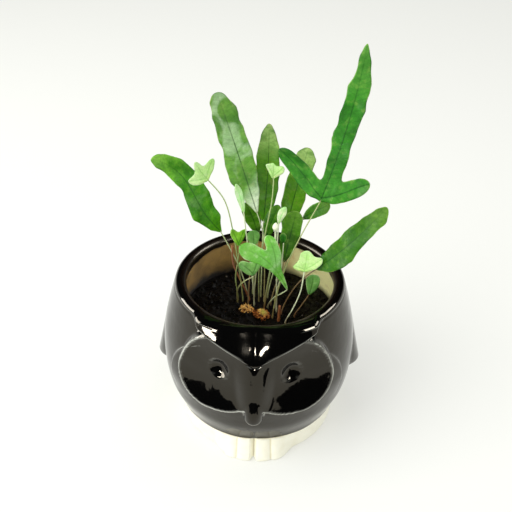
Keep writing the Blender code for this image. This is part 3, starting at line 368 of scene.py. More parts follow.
# Leafless stalks: foot, the points that each passes, and its radius at the foot and at the end
BARE_STALKS = (
    {
        "name": "dead_stalk_front", "foot": (11.0, -9.6),
        "points": ((11.2, -9.8, 75.0), (11.3, -9.6, 79.5)),
        "radius": 0.8, "end_radius": 0.6,
    },
    {
        "name": "dead_stalk_left", "foot": (-6.0, 6.0),
        "points": ((-10.6, 5.6, 83.0), (-14.8, 4.6, 96.0), (-15.3, 3.2, 109.0)),
        "radius": 0.55, "end_radius": 0.45,
    },
)
BUD_STALK = {
    "name": "young_bud", "foot": (2.8, -1.0),
    "points": ((4.6, -4.6, 92.0), (6.6, -6.4, 110.0), (7.5, -6.6, 120.6), (7.5, -6.6, 125.2)),
    "radius": 0.5, "end_radius": 1.65,
}

# Leaf colours as seen: the blade at its base, middle and tip, then its mottling, midrib, rim, and waxy
# bloom with painted sheen
LEAF_COLOURS = {
    "strap_green": ("#58A810", "#50A808", "#90D048", "#308008", "#286808", "#98D040", "#B8D8A0"),
    "leather_green": ("#286808", "#408008", "#609028", "#286808", "#205808", "#88B840", "#B8D8A0"),
    "apple_green": ("#90F038", "#A0E840", "#78B028", "#68B828", "#509820", "#D8F890", "#C8E8A0"),
    "waxy_green": ("#F0FFE0", "#78B840", "#70A838", "#408020", "#306018", "#A8B868", "#C8E8B8"),
    "olive_green": ("#58A018", "#60A018", "#C0E088", "#408010", "#306010", "#98A048", "#A8D088"),
    "blue_green": ("#48A028", "#389020", "#60A040", "#287018", "#206018", "#98C058", "#A0C888"),
    "deep_green": ("#284808", "#509010", "#609820", "#306008", "#205008", "#98C058", "#A0C888"),
    "fresh_green": ("#98F068", "#78D040", "#88C060", "#60B030", "#60A838", "#E0F8C0", "#C8F0B8"),
    "shade_green": ("#68B858", "#90D068", "#80C060", "#60A048", "#508838", "#D8F8B0", "#B8E0A0"),
    "lime_green": ("#E0FF98", "#E0FFB0", "#D0F8A8", "#B8F080", "#A8E078", "#F0FFD0", "#E0F8C8"),
    "mint_green": ("#D0FF78", "#F0FFD0", "#B8E890", "#C0FFA8", "#B0F090", "#F8FFE0", "#F0FFE8"),
}

# Each leaf's share of waxy bloom with painted sheen, its stalk's shade from 0 (brown) to 1 (pale lime),
# and its slot in the record
LEAF_HABITS = {
    "strap_green": (0.05, 0.40, "green_leaf"),
    "leather_green": (0.05, 0.40, "green_leaf"),
    "apple_green": (0.15, 0.55, "green_leaf"),
    "waxy_green": (0.60, 0.85, "pale_leaf"),
    "olive_green": (0.15, 0.70, "green_leaf"),
    "blue_green": (0.08, 0.34, "blue_green_leaf"),
    "deep_green": (0.08, 0.60, "dark_leaf"),
    "fresh_green": (0.30, 0.62, "bright_leaf"),
    "shade_green": (0.20, 0.45, "dark_leaf"),
    "lime_green": (0.30, 0.55, "lime_leaf"),
    "mint_green": (0.45, 0.90, "lime_leaf"),
}

# Stage, in metres: half the floor's width, its height just under the pot, and the height aimed at
FLOOR_HALF = 6.0
FLOOR_HEIGHT = -0.0001
STAGE_MIDDLE = 0.06

# Windows and lamps that show only in the glaze: azimuth and elevation in degrees, distance and size in
# metres, power for a window light of 1, and the turn about their own axis in degrees
MIRRORED_LIGHTS = (
    ("left_window", -86.0, 15.0, 0.95, (0.75, 0.48), 17.0, 0.0),
    ("right_window", 96.0, 31.0, 0.95, (0.5, 0.34), 8.5, 0.0),
    ("front_lamp", -1.6, 15.4, 0.202, (0.026, 0.011), 0.1, 46.0),
    ("front_glow", 3.0, 18.9, 0.207, (0.006, 0.012), 0.002, 0.0),
    ("left_lamp", -44.4, 11.3, 0.2, (0.056, 0.012), 0.13, 0.0),
    ("right_lamp", 52.0, 26.0, 0.2, (0.05, 0.05), 0.27, 0.0),
)

# Black flags that show only in the glaze, in metres: the feet of the front flag's wings (near and far),
# and the columns, the place in front of the pot and the heights of the lamp's flag
FLAG_WINGS = (((-0.132, -0.143), (-0.160, -0.196)), ((0.096, -0.110), (0.117, -0.186)))
LAMP_FLAG = ((-0.016, -0.0013, 0.01), -0.075, (0.08, 0.0925, 0.102))

# Camera of the photograph, in the part's millimetres
CAMERA_PLACE = (9.239, -303.549, 319.45)
CAMERA_AZIMUTH = math.radians(2.2)
CAMERA_ELEVATION = math.radians(35.22)
CAMERA_ROLL = math.radians(1.07)


def linear(code, alpha=None):
    """Turn an sRGB hex colour, as seen, into linear values, with an alpha where one is given."""
    parts = [int(code[i : i + 2], 16) / 255.0 for i in (1, 3, 5)]
    values = [v / 12.92 if v <= 0.04045 else ((v + 0.055) / 1.055) ** 2.4 for v in parts]
    return (*values, alpha) if alpha is not None else tuple(values)


def colour_setting(name, code, description):
    """Describe a colour that a user may change, given as an sRGB hex value."""
    return bpy.props.FloatVectorProperty(
        name=name, description=description, subtype="COLOR", min=0.0, max=1.0, default=linear(code)
    )


def length_setting(name, millimetres, description):
    """Describe a length that a user may change, given in millimetres."""
    return bpy.props.FloatProperty(
        name=name, description=description, unit="LENGTH", subtype="DISTANCE", min=0.0,
        default=millimetres * MM, precision=5,
    )


def share_setting(name, value, description):
    """Describe a share from 0 to 1 that a user may change."""
    return bpy.props.FloatProperty(
        name=name, description=description, subtype="FACTOR", min=0.0, max=1.0, default=value
    )


class PotSettings(bpy.types.PropertyGroup):
    """Colours and sizes of the owl pot's glazes and its bare clay."""

    glaze: colour_setting("Black glaze", "#050505", "Colour of the gloss glaze on the body")
    # Painted highlight: the pale grey painted along edges and round the eyes and the beak
    painted_edge_highlight: colour_setting("Glaze on edges", "#B4B6AE", "Colour where the glaze runs thin on an edge")
    glaze_inner: colour_setting("Glaze inside the lip", "#120A06", "Colour of the thin glaze in the mouth")
    glaze_tint: colour_setting("Glaze reflections", "#FFF3DC", "Warm tint of what the black glaze mirrors")
    foot: colour_setting("Foot glaze", "#FFFDEB", "Colour of the cream glaze on the feet")
    # Painted shade: the yellower cream painted in the hollows between the toes and under the body
    foot_shade: colour_setting("Foot hollows", "#E6DDB8", "Colour of the cream glaze where it pools")
    clay: colour_setting("Bare clay", "#CCA050", "Colour of the dry clay inside the mouth")
    # Painted shade: this damp colour also paints the shade towards the soil
    clay_damp_and_shade: colour_setting("Damp clay", "#2B2011", "Colour of the clay that the wet soil stains")
    # Painted light: the pale colour painted on the lit side of the mouth
    clay_painted_light: colour_setting("Crusted clay", "#FFFCB4", "Colour of the minerals dried on the clay")
    glaze_gloss: share_setting("Glaze roughness", 0.06, "Roughness of the black glaze")
    inner_glaze: length_setting("Glaze inside the lip", 4.4, "How far the glaze runs down inside")


class SoilSettings(bpy.types.PropertyGroup):
    """Colours, size and number of the potting mix's crumbs."""

    soil: colour_setting("Soil", "#040302", "Colour of the damp potting mix")
    soil_light: colour_setting("Soil crumbs", "#150E08", "Colour of the drier crumbs")
    speck: colour_setting("Grit", "#9C9284", "Colour of the pale mineral grit")
    crumb: length_setting("Crumb size", 0.95, "Middle size of a crumb, half its width")
    crumbs: bpy.props.IntProperty(
        name="Crumbs", description="Number of loose crumbs", default=900, min=0, max=3000
    )
    grits: bpy.props.IntProperty(
        name="Grit count", description="Number of pale grains", default=14, min=0, max=400
    )


class RhizomeSettings(bpy.types.PropertyGroup):
    """Colours and number of the rhizome's scales."""

    bark: colour_setting("Bark", "#4A1C08", "Colour of the rhizome and of its scales underneath")
    scale_colour: colour_setting("Scales", "#B0641C", "Colour of the scales")
    scale_tip: colour_setting("Scale tips", "#E8B860", "Colour of the scales' pale tips")
    bud: colour_setting("Growing point", "#B4B048", "Colour of the new growth on the lump")
    scales: bpy.props.IntProperty(
        name="Scales", description="Number of scales", default=620, min=0, max=3000
    )


class FrondSettings(bpy.types.PropertyGroup):
    """Sizes of the blades and colours of the stalks."""

    thickness: length_setting("Blade thickness", 0.46, "Thickness in the middle of a blade")
    spacing: length_setting("Mesh spacing", 0.85, "Distance between a blade's points")
    vein_spacing: length_setting("Vein spacing", 2.6, "Distance between side veins at the midrib")
    stalk: colour_setting("Green stalk", "#9FB56C", "Colour of an olive green stalk")
    stalk_tan: colour_setting("Tan stalk", "#A09468", "Colour of a tan stalk")
    stalk_pale: colour_setting("Pale stalk", "#E8F2CC", "Colour of a pale lime stalk")
    stalk_foot: colour_setting("Stalk foot", "#6A4628", "Colour of a stalk near the soil")
    dead_stalk: colour_setting("Dead stalk", "#9A5B2C", "Colour of a dead stalk")
    bud_tip: colour_setting("Bud tip", "#EDF6D2", "Colour of the unopened bud's downy tip")
    underside: share_setting("Pale underside", 0.35, "How much paler the underside is")


class StageSettings(bpy.types.PropertyGroup):
    """Floor, light and lens of the plain studio."""

    floor: colour_setting("Floor", "#C4C5C0", "Colour of the floor")
    wall: colour_setting("Walls", "#F2F2EF", "Colour of the pale walls near the horizon")
    ambient: bpy.props.FloatProperty(
        name="Ambient light", description="Strength of the light from all sides", default=0.76, min=0.0
    )
    windows: bpy.props.FloatProperty(
        name="Window light", description="Strength of the mirrored windows and lamps", default=1.0, min=0.0
    )
    overhead: bpy.props.FloatProperty(
        name="Overhead light", description="Power of the overhead light", unit="POWER", default=6.5, min=0.0
    )
    key: bpy.props.FloatProperty(
        name="Key light", description="Power of the light from the front left", unit="POWER", default=11.0,
        min=0.0,
    )
    floor_glow: share_setting("Floor glow", 0.32, "Light that the backlit floor gives by itself")
    lens: bpy.props.FloatProperty(
        name="Lens", description="Focal length on a 36 mm sensor", unit="CAMERA", default=49.22, min=1.0
    )


def smooth_step(low, high, value):
    """Rise smoothly from 0 at low to 1 at high."""
    t = min(1.0, max(0.0, (value - low) / (high - low)))
    return t * t * (3.0 - 2.0 * t)


def smooth_max(a, b, blend):
    """Return the larger of two heights with a rounded meeting."""
    h = max(0.0, blend - abs(a - b))
    return max(a, b) + h * h / (4.0 * blend)


def hermite(a, slope_a, b, slope_b, t):
    """Blend from a to b over t from 0 to 1, with the slopes given at both ends."""
    start = (2 * t**3 - 3 * t**2 + 1) * a + (t**3 - 2 * t**2 + t) * slope_a
    return start + (3 * t**2 - 2 * t**3) * b + (t**3 - t**2) * slope_b


def curve_value(values, u):
    """Read a smooth curve through equally spaced values at u from 0 to 1."""
    last = len(values) - 1
    position = min(1.0, max(0.0, u)) * last
    i = min(int(position), last - 1)
    t = position - i
    p1 = values[i]
    p2 = values[i + 1]
    p0 = values[i - 1] if i > 0 else p1 + (p1 - p2)
    p3 = values[i + 2] if i + 2 <= last else p2 + (p2 - p1)
    return hermite(p1, 0.5 * (p2 - p0), p2, 0.5 * (p3 - p1), t)


def profile_radius(profile, z):
    """Read a turned profile (height, radius) at a height, with smooth joins."""
    if z <= profile[0][0]:
        return profile[0][1]
    for i in range(len(profile) - 1):
        z0, r0 = profile[i]
        z1, r1 = profile[i + 1]
        if z <= z1:
            before = profile[i - 1] if i > 0 else profile[i]
            after = profile[i + 2] if i + 2 < len(profile) else profile[i + 1]
            slope0 = (r1 - before[1]) / (z1 - before[0])
            slope1 = (after[1] - r0) / (after[0] - z0)
            span = z1 - z0
            return hermite(r0, span * slope0, r1, span * slope1, (z - z0) / span)
    return profile[-1][1]


def brow_height(arc):
    """Height of the brow's edge at an arc from the middle of the face."""
    across = abs(arc)
    height = BROW_POINT_HEIGHT + BROW_SLOPE * across - BROW_CURVE * across**2
    corner = smooth_step(BROW_HALF_ARC, BROW_HALF_ARC + BROW_CORNER, across)
    return height + (LIP_HEIGHT - height) * corner


def eye_place(across, z):
    """Distance from an eye's middle, the eye's reach that way, and the share towards brow and nose."""
    x = across - EYE_ARC
    y = z - EYE_HEIGHT
    rho = math.hypot(x, y)
    lean = 0.5 - 0.5 * (0.79 * x - 0.61 * y) / max(rho, 0.01)
    return rho, EYE_RADIUS + EYE_RUN_OUT * smooth_step(0.18, 0.93, lean), lean


def beak_share(across, z):
    """Distance from the beak's middle, as a share of the beak's reach that way."""
    down = (z - BEAK_HEIGHT) / (BEAK_RISE if z > BEAK_HEIGHT else BEAK_DROP)
    return math.hypot(across / BEAK_HALF_WIDTH, down)


def bead(away):
    """Height of the fine bead along an edge, at a distance from it."""
    return RING_BEAD * math.exp(-((away / RING_BEAD_WIDTH) ** 2))


def face_relief(arc, z):
    """Stand-off of the mask with its dished eyes, cheeks, nose ridge and beak, with fine beads."""
    across = abs(arc)
    rho, reach, lean = eye_place(across, z)
    if rho < reach:
        eye = MASK_HEIGHT - EYE_DISH_DEPTH * (1.0 - (rho / reach) ** 2)
        pupil = math.hypot(across - PUPIL_ARC, z - PUPIL_HEIGHT) / PUPIL_RADIUS
        eye -= PUPIL_DEPTH * max(0.0, 1.0 - pupil**2)
    else:
        far = math.hypot(across - CHEEK_ARC, z - CHEEK_CENTRE)
        edge = 1.0 - smooth_step(CHEEK_RADIUS - 1.5, CHEEK_RADIUS, far)
        cheek = CHEEK_HEIGHT * edge * smooth_step(33.0, 52.0, z)
        eye = max(MASK_HEIGHT * (1.0 - smooth_step(0.0, MASK_FALL, rho - reach)), cheek)
    eye += bead(rho - reach) * (1.0 - smooth_step(0.68, 0.86, lean))
    q = beak_share(across, z)
    beak = BEAK_STAND_OFF * math.sqrt(1.0 - q * q) if q < 1.0 else 12.0 * (1.0 - q)
    beak += bead((q - 1.0) * BEAK_HALF_WIDTH) * (1.0 - smooth_step(44.0, 50.0, z))
    nose = NOSE_TOP_HEIGHT + NOSE_GAIN * (NOSE_TOP - z)
    nose *= 1.0 - (across / NOSE_HALF_WIDTH) ** 2
    nose -= 14.0 * (1.0 - smooth_step(NOSE_END, NOSE_END + 8.0, z))
    return smooth_max(smooth_max(eye, nose, NOSE_BLEND), beak, 0.8)


def face_edge(arc, z):
    """Distance from the nearest ring of the face: an eye's outer edge, the beak's or a cheek's."""
    across = abs(arc)
    rho, reach, lean = eye_place(across, z)
    eye = abs(rho - reach) + FAR * smooth_step(0.66, 0.8, lean)
    beak = abs(beak_share(across, z) - 1.0) * BEAK_HALF_WIDTH
    beak += FAR * smooth_step(BEAK_HEIGHT + 2.0, BEAK_HEIGHT + 7.0, z)
    cheek = abs(math.hypot(across - CHEEK_ARC, z - CHEEK_CENTRE) - CHEEK_RADIUS + 0.6) + 0.3
    cheek += FAR * smooth_step(44.0, 38.0, z) + FAR * smooth_step(30.0, 26.0, across)
    return min(eye, beak, cheek)


def wing_relief(theta, z):
    """Stand-off of the folded wing at one side of the body."""
    if z <= WING_TIP or z >= WING_TOP:
        return 0.0
    u = (z - WING_TIP) / (WING_TOP - WING_TIP)
    half = WING_HALF_WIDTH * math.sin(math.pi * u**0.62) ** 0.8
    offset = abs(abs(theta) - WING_ANGLE) * ARC_RADIUS
    if offset >= half:
        return 0.0
    height = WING_STAND_OFF * smooth_step(0.0, 0.15, u) * (1.0 - u) ** 2.2
    return height * (1.0 - (offset / half) ** 2) ** 0.75


def foot_relief(theta, z):
    """Stand-off of the two feet with their toes, under the glaze edge."""
    if z >= GLAZE_EDGE_HEIGHT:
        return 0.0
    angle = abs(theta)
    if angle > FOOT_HALF_ANGLE + 0.12:
        return 0.0
    spread = 1.0 - smooth_step(0.4 * FOOT_HALF_ANGLE, FOOT_HALF_ANGLE + 0.06, angle) ** 1.4
    toe = abs(math.sin(math.pi * min(angle, 1.5 * TOE_ANGLE) / TOE_ANGLE))
    middle = 1.0 - smooth_step(0.0, 0.045, angle)
    drop = (1.0 - z / GLAZE_EDGE_HEIGHT) ** 0.8
    return spread * (FOOT_STAND_OFF * drop + 0.9 * toe**0.6 - 2.8 * middle)


def outer_radius(theta, z):
    """Radius of the pot's outside, with all its relief."""
    arc = theta * ARC_RADIUS
    radius = profile_radius(BODY_PROFILE, z)
    if z < GLAZE_EDGE_HEIGHT:
        return radius + foot_relief(theta, z)
    radius += wing_relief(theta, z)
    if abs(arc) > 60.0:
        return radius
    brow = brow_height(arc)
    fade = 1.0 - smooth_step(BROW_HALF_ARC, BROW_HALF_ARC + 2.0 * BROW_CORNER, abs(arc))
    below = smooth_step(brow - 1.0, brow, z)
    above = max(0.0, z - brow)
    forehead = (BROW_STEP - FOREHEAD_SLOPE * above - FOREHEAD_BEND * above**2) * fade
    return radius + face_relief(arc, z) * (1.0 - below) + forehead * below


def ring_faces(rows, count):
    """Faces that join closed rings of points, each to the next."""
    faces = []
    for i in range(rows):
        for j in range(count):
            k = (j + 1) % count
            faces.append((i * count + j, i * count + k, (i + 1) * count + k, (i + 1) * count + j))
    return faces


def piece_from(name, vertices, faces, materials, kinds=None, marks=None):
    """Make a smooth piece from millimetre points, with its materials and the marks its shaders read."""
    mesh = bpy.data.meshes.new(name)
    mesh.from_pydata([tuple(c * MM for c in v) for v in vertices], [], [tuple(f) for f in faces])
    for material in materials:
        mesh.materials.append(material)
    mesh.polygons.foreach_set("use_smooth", [True] * len(mesh.polygons))
    if kinds is not None:
        mesh.polygons.foreach_set("material_index", kinds)
    for mark, values in (marks or {}).items():
        layer = mesh.attributes.new(mark, "FLOAT", "POINT")
        layer.data.foreach_set("value", np.asarray(values, dtype=np.float32))
    work = bmesh.new()
    work.from_mesh(mesh)
    bmesh.ops.recalc_face_normals(work, faces=work.faces)
    work.to_mesh(mesh)
    work.free()
    piece = bpy.data.objects.new(name, mesh)
    bpy.context.scene.collection.objects.link(piece)
    return piece


def place(piece, slot, *nodes):
    """Let a piece ride on the part and hide the packed nodes that it stands for; its slot is not used."""
    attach(piece, "root")
    if nodes:
        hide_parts(*nodes)


def feed(tree, node, inputs):
    """Set a node's inputs, by name or number, to values or to what other nodes give."""
    for key, value in inputs.items():
        named = [s for s in node.inputs if s.enabled and s.name == key]
        socket = node.inputs[key] if isinstance(key, int) else named[0]
        if isinstance(value, bpy.types.Node):
            tree.links.new(next(s for s in value.outputs if s.enabled), socket)
        elif isinstance(value, bpy.types.NodeSocket):
            tree.links.new(value, socket)
        else:
            socket.default_value = value
    return node


def add_node(tree, kind, inputs=None, stops=None, **settings):
    """Add a shader node with its settings, its input values or links, and a ramp's stops."""
    node = tree.nodes.new("ShaderNode" + kind)
    for name, value in settings.items():
        setattr(node, name, value)
    if stops:
        ramp = node.color_ramp
        while len(ramp.elements) < len(stops):
            ramp.elements.new(0.5)
        for element, (position, value) in zip(ramp.elements, stops):
            element.position = position
            element.color = value
    return feed(tree, node, inputs or {})


def new_material(name, *marks):
    """Start a material: its node tree, its Principled shader, where a point is, and the marks it reads."""
    material = bpy.data.materials.new(name)
    material.use_nodes = True
    tree = material.node_tree
    where = add_node(tree, "TexCoord").outputs["Object"]
    read = {mark: add_node(tree, "Attribute", attribute_name=mark).outputs["Fac"] for mark in marks}
    return material, tree, tree.nodes["Principled BSDF"], where, read


def opaque(colour):
    """Give a colour setting an alpha of 1, as a colour socket wants it."""
    return (colour[0], colour[1], colour[2], 1.0)


def gloss_glaze(pot):
    """Black gloss glaze, dipped and fired on stoneware.

    A glassy coat: crisp reflections that wander a little where it ran thick and thin, and a painted
    highlight:
    a pale grey line painted along sharp edges and round the eyes and the beak.
    """
    material, tree, shader, where, read = new_material("black_gloss_glaze_fired", "thin", "inner", "edge")
    # Runs of thicker glaze, about 14 mm apart
    runs = add_node(tree, "TexNoise", {"Vector": where, "Scale": 70.0, "Detail": 2.0})
    # Orange peel of a fired glaze, about 3 mm across, drawn coarser than life so that it shows
    peel = add_node(tree, "TexNoise", {"Vector": where, "Scale": 330.0, "Detail": 1.0})
    # Pinholes and dust, about 1 mm
    dust = add_node(tree, "TexNoise", {"Vector": where, "Scale": 900.0, "Detail": 2.0})
    # Inside the lip the glaze is thinner, browner and only satin
    colour = {"Factor": read["inner"], "A": opaque(pot.glaze), "B": opaque(pot.glaze_inner)}
    colour = add_node(tree, "Mix", colour, data_type="RGBA")
    satin = add_node(tree, "MapRange", {"Value": read["inner"], "To Min": pot.glaze_gloss, "To Max": 0.3})
    # Painted highlight: edges, and the rings round the eyes and the beak, are painted pale grey for the
    # highlight on their crests
    painted_highlight_share = add_node(tree, "Math", {0: read["thin"], 1: runs}, operation="MULTIPLY")
    painted_highlight_share = add_node(tree, "Math", {0: painted_highlight_share, 1: 1.5}, operation="MULTIPLY", use_clamp=True)
    ring = add_node(tree, "MapRange", {"Value": read["edge"], "From Min": 0.62, "From Max": 0.2})
    ring = add_node(tree, "Math", {0: ring, 1: runs}, operation="MULTIPLY")
    ring = add_node(tree, "Math", {0: ring, 1: 1.9}, operation="MULTIPLY", use_clamp=True)
    painted_highlight_share = add_node(tree, "Math", {0: painted_highlight_share, 1: ring}, operation="MAXIMUM")
    colour = {"Factor": painted_highlight_share, "A": colour, "B": opaque(pot.painted_edge_highlight)}
    specks = add_node(tree, "MapRange", {"Value": dust, "From Min": 0.70, "From Max": 0.80})
    rough = add_node(tree, "Math", {0: specks, 1: 0.12}, operation="MULTIPLY")
    wander = add_node(tree, "Bump", {"Height": runs, "Strength": 0.2, "Distance": 0.0012})
    relief = {"Height": peel, "Strength": 0.14, "Distance": 0.0003, "Normal": wander}
    feed(tree, shader, {
        "Base Color": add_node(tree, "Mix", colour, data_type="RGBA"),
        "Roughness": add_node(tree, "Math", {0: rough, 1: satin}, operation="ADD"),
        "IOR": 1.48,
        "Specular Tint": opaque(pot.glaze_tint),
        "Normal": add_node(tree, "Bump", relief),
    })
    return material


def cream_glaze(pot):
    """Cream satin glaze on the feet and the base ring.

    Warm white and softly shiny, with painted shade: a little yellower in the hollows between the toes and
    under the body.
    """
    material, tree, shader, where, read = new_material("cream_satin_glaze_fired", "pool")
    # Clouds about 6 mm across
    cloud = add_node(tree, "TexNoise", {"Vector": where, "Scale": 160.0, "Detail": 3.0})
    cloud = add_node(tree, "MapRange", {"Value": cloud, "From Min": 0.4, "From Max": 0.75})
    amount = add_node(tree, "Math", {0: cloud, 1: 0.25}, operation="MULTIPLY")
    # Painted shade in the hollows, on top of the clouds
    amount = add_node(tree, "Math", {0: amount, 1: read["pool"]}, operation="ADD", use_clamp=True)
    colour = {"Factor": amount, "A": opaque(pot.foot), "B": opaque(pot.foot_shade)}
    feed(tree, shader, {
        "Base Color": add_node(tree, "Mix", colour, data_type="RGBA"),
        "Roughness": 0.28,
        "IOR": 1.52,
        "Normal": add_node(tree, "Bump", {"Height": cloud, "Strength": 0.2, "Distance": 0.0003}),
    })
    return material


def bare_clay(pot):
    """Unglazed stoneware clay inside the mouth and under the base.

    Matt, gritty and tan, darker towards the soil, partly stained by the wet soil and the watering and
    partly
    painted shade, with painted light: a pale greenish cream painted on the lit side of the mouth.
    """
    material, tree, shader, where, read = new_material("bare_stoneware_clay", "damp", "crust")
    # Ragged edge of the damp stain and the painted shade, and patches in the painted light, some 8 mm
    # across
    ragged_noise = add_node(tree, "TexNoise", {"Vector": where, "Scale": 130.0, "Detail": 5.0})
    # Grog in the clay, about 0.6 mm
    grog = add_node(tree, "TexNoise", {"Vector": where, "Scale": 1600.0, "Detail": 3.0})
    # Damp stain and painted shade, darker towards the soil
    soaked_and_shaded = add_node(tree, "Math", {0: ragged_noise, 1: read["damp"]}, operation="ADD")
    soaked_and_shaded = add_node(tree, "MapRange", {"Value": soaked_and_shaded, "From Min": 0.45, "From Max": 1.25})
    colour = {"Factor": soaked_and_shaded, "A": opaque(pot.clay), "B": opaque(pot.clay_damp_and_shade)}
    colour = add_node(tree, "Mix", colour, data_type="RGBA")
    # Painted light: pale cream painted in patches on the lit side of the mouth
    crust = add_node(tree, "Math", {0: read["crust"], 1: ragged_noise}, operation="MULTIPLY")
    crust = add_node(tree, "Math", {0: crust, 1: 2.3}, operation="MULTIPLY", use_clamp=True)
    colour = {"Factor": crust, "A": colour, "B": opaque(pot.clay_painted_light)}
    colour = add_node(tree, "Mix", colour, data_type="RGBA")
    grain = add_node(tree, "MapRange", {"Value": grog, "To Min": 0.82, "To Max": 1.12})
    colour = {"Factor": 1.0, "A": colour, "B": grain}
    feed(tree, shader, {
        "Base Color": add_node(tree, "Mix", colour, data_type="RGBA", blend_type="MULTIPLY"),
        "Roughness": 0.82,
        "Normal": add_node(tree, "Bump", {"Height": grog, "Strength": 0.4, "Distance": 0.0003}),
    })
    return material


def pot_columns():
    """Angles of the pot's columns: about 0.7 mm apart on the face, wider at the back."""
    half = [0.0]
    while half[-1] < math.pi - 0.004:
        angle = math.degrees(half[-1])
        step = next(width for limit, width in COLUMN_STEPS if angle < limit)
        half.append(min(math.pi, half[-1] + math.radians(step)))
    return half + [-angle for angle in reversed(half[1:-1])]


def inner_glaze_edge(theta, depth):
    """Height of the glaze's uneven edge inside the mouth."""
    wave = 0.9 * math.sin(2.0 * theta + 0.7) + 0.5 * math.sin(5.0 * theta + 2.1)
    wave += 0.3 * math.sin(13.0 * theta) + 0.15 * math.sin(29.0 * theta + 1.0)
    return LIP_HEIGHT + 1.6 - depth + 0.8 * wave


def convexity(grid):
    """How sharply each point of a closed ring grid stands out, per millimetre."""
    ahead = np.roll(grid, -1, 1)
    behind = np.roll(grid, 1, 1)
    above = np.vstack([grid[1:], grid[-1:]])
    below = np.vstack([grid[:1], grid[:-1]])
    normal = np.cross(ahead - behind, above - below)
    normal /= np.linalg.norm(normal, axis=2, keepdims=True) + 1e-9
    bend = np.zeros(grid.shape[:2])
    for one, other in ((ahead, behind), (above, below)):
        to_one = np.linalg.norm(one - grid, axis=2, keepdims=True) + 0.02
        to_other = np.linalg.norm(other - grid, axis=2, keepdims=True) + 0.02
        turn = (one - grid) / to_one + (other - grid) / to_other
        bend -= 2.0 * np.sum(turn * normal, axis=2) / (to_one + to_other)[:, :, 0]
    return bend


def between(lows, highs, share):
    """Heights at a share of the way from one line of heights to another."""
    return [low + share * (high - low) for low, high in zip(lows, highs)]


def pot_rows(angles, depth):
    """Give the pot's rows from the base up, over the lip and down inside, each as radii and heights.

    A row also has its finish and how far it is inside the lip.
    """

    def level(z):
        return [z] * len(angles)

    def outside(heights, step=0.0):
        return [outer_radius(theta, z) + step for theta, z in zip(angles, heights)]

    def inside_mouth(heights, step=0.0):
        return [profile_radius(INNER_PROFILE, z) + step for z in heights]

    # Feet and base ring, up to the black glaze's uneven edge
    for inset, z in ((1.2, 0.0), (0.35, 0.3), (0.0, 1.1)):
        yield outside(level(z), -inset), level(z), CREAM, 0.0
    for i in range(1, FOOT_ROWS):
        heights = level(1.1 + (GLAZE_EDGE_HEIGHT - 1.6) * i / FOOT_ROWS)
        yield outside(heights), heights, CREAM, 0.0
    edge = [
        GLAZE_EDGE_HEIGHT + 0.16 * math.sin(7.0 * theta) + 0.1 * math.sin(17.0 * theta + 1.0)
        for theta in angles
    ]
    yield outside(level(15.0)), [z - 0.25 for z in edge], CREAM, 0.0
    # Body up to the brow, over the brow's edge, and the forehead
    brow = [brow_height(theta * ARC_RADIUS) for theta in angles]
    brow_foot = [z - 1.0 for z in brow]
    for i in range(BODY_ROWS + 1):
        heights = between(edge, brow_foot, i / BODY_ROWS)
        yield outside([max(z, GLAZE_EDGE_HEIGHT) for z in heights], GLAZE_STEP), heights, GLAZE, 0.0
    for share in (0.25, 0.5, 0.75):
        heights = [z + share for z in brow_foot]
        yield outside(heights), heights, GLAZE, 0.0
    shoulder = level(LIP_HEIGHT + 0.4)
    for i in range(FOREHEAD_ROWS + 1):
        heights = between(brow, shoulder, i / FOREHEAD_ROWS)
        yield outside(heights), heights, GLAZE, 0.0
    # Rounded lip
    rim = outside(shoulder)
    for angle in range(12, 181, 12):
        turn = math.radians(angle)
        across = 0.5 * (1.0 - math.cos(turn))
        heights = level(LIP_HEIGHT + (POT_HEIGHT - LIP_HEIGHT) * math.sin(turn))
        radii = [radius + (MOUTH_RADIUS - 0.1 - radius) * across for radius in rim]
        yield radii, heights, GLAZE, smooth_step(0.35, 0.75, across)
    # Inside of the mouth: glaze down to its edge, then clay down to the floor
    edge = [inner_glaze_edge(theta, depth) for theta in angles]
    for share in (0.3, 0.6, 0.85, 1.0):
        heights = between(level(LIP_HEIGHT), edge, share)
        yield inside_mouth(heights), heights, GLAZE, 1.0
    for share in (0.02, 0.08, 0.16, 0.24, 0.33, 0.42, 0.51, 0.6, 0.7, 0.8, 0.9, 1.0):
        heights = between(edge, level(63.0), share)
        yield inside_mouth(heights, CLAY_STEP), heights, CLAY, 0.0
    for z in (*INNER_ROWS, POT_FLOOR):
        yield inside_mouth(level(z)), level(z), CLAY, 0.0
    yield level(20.0), level(POT_FLOOR), CLAY, 0.0


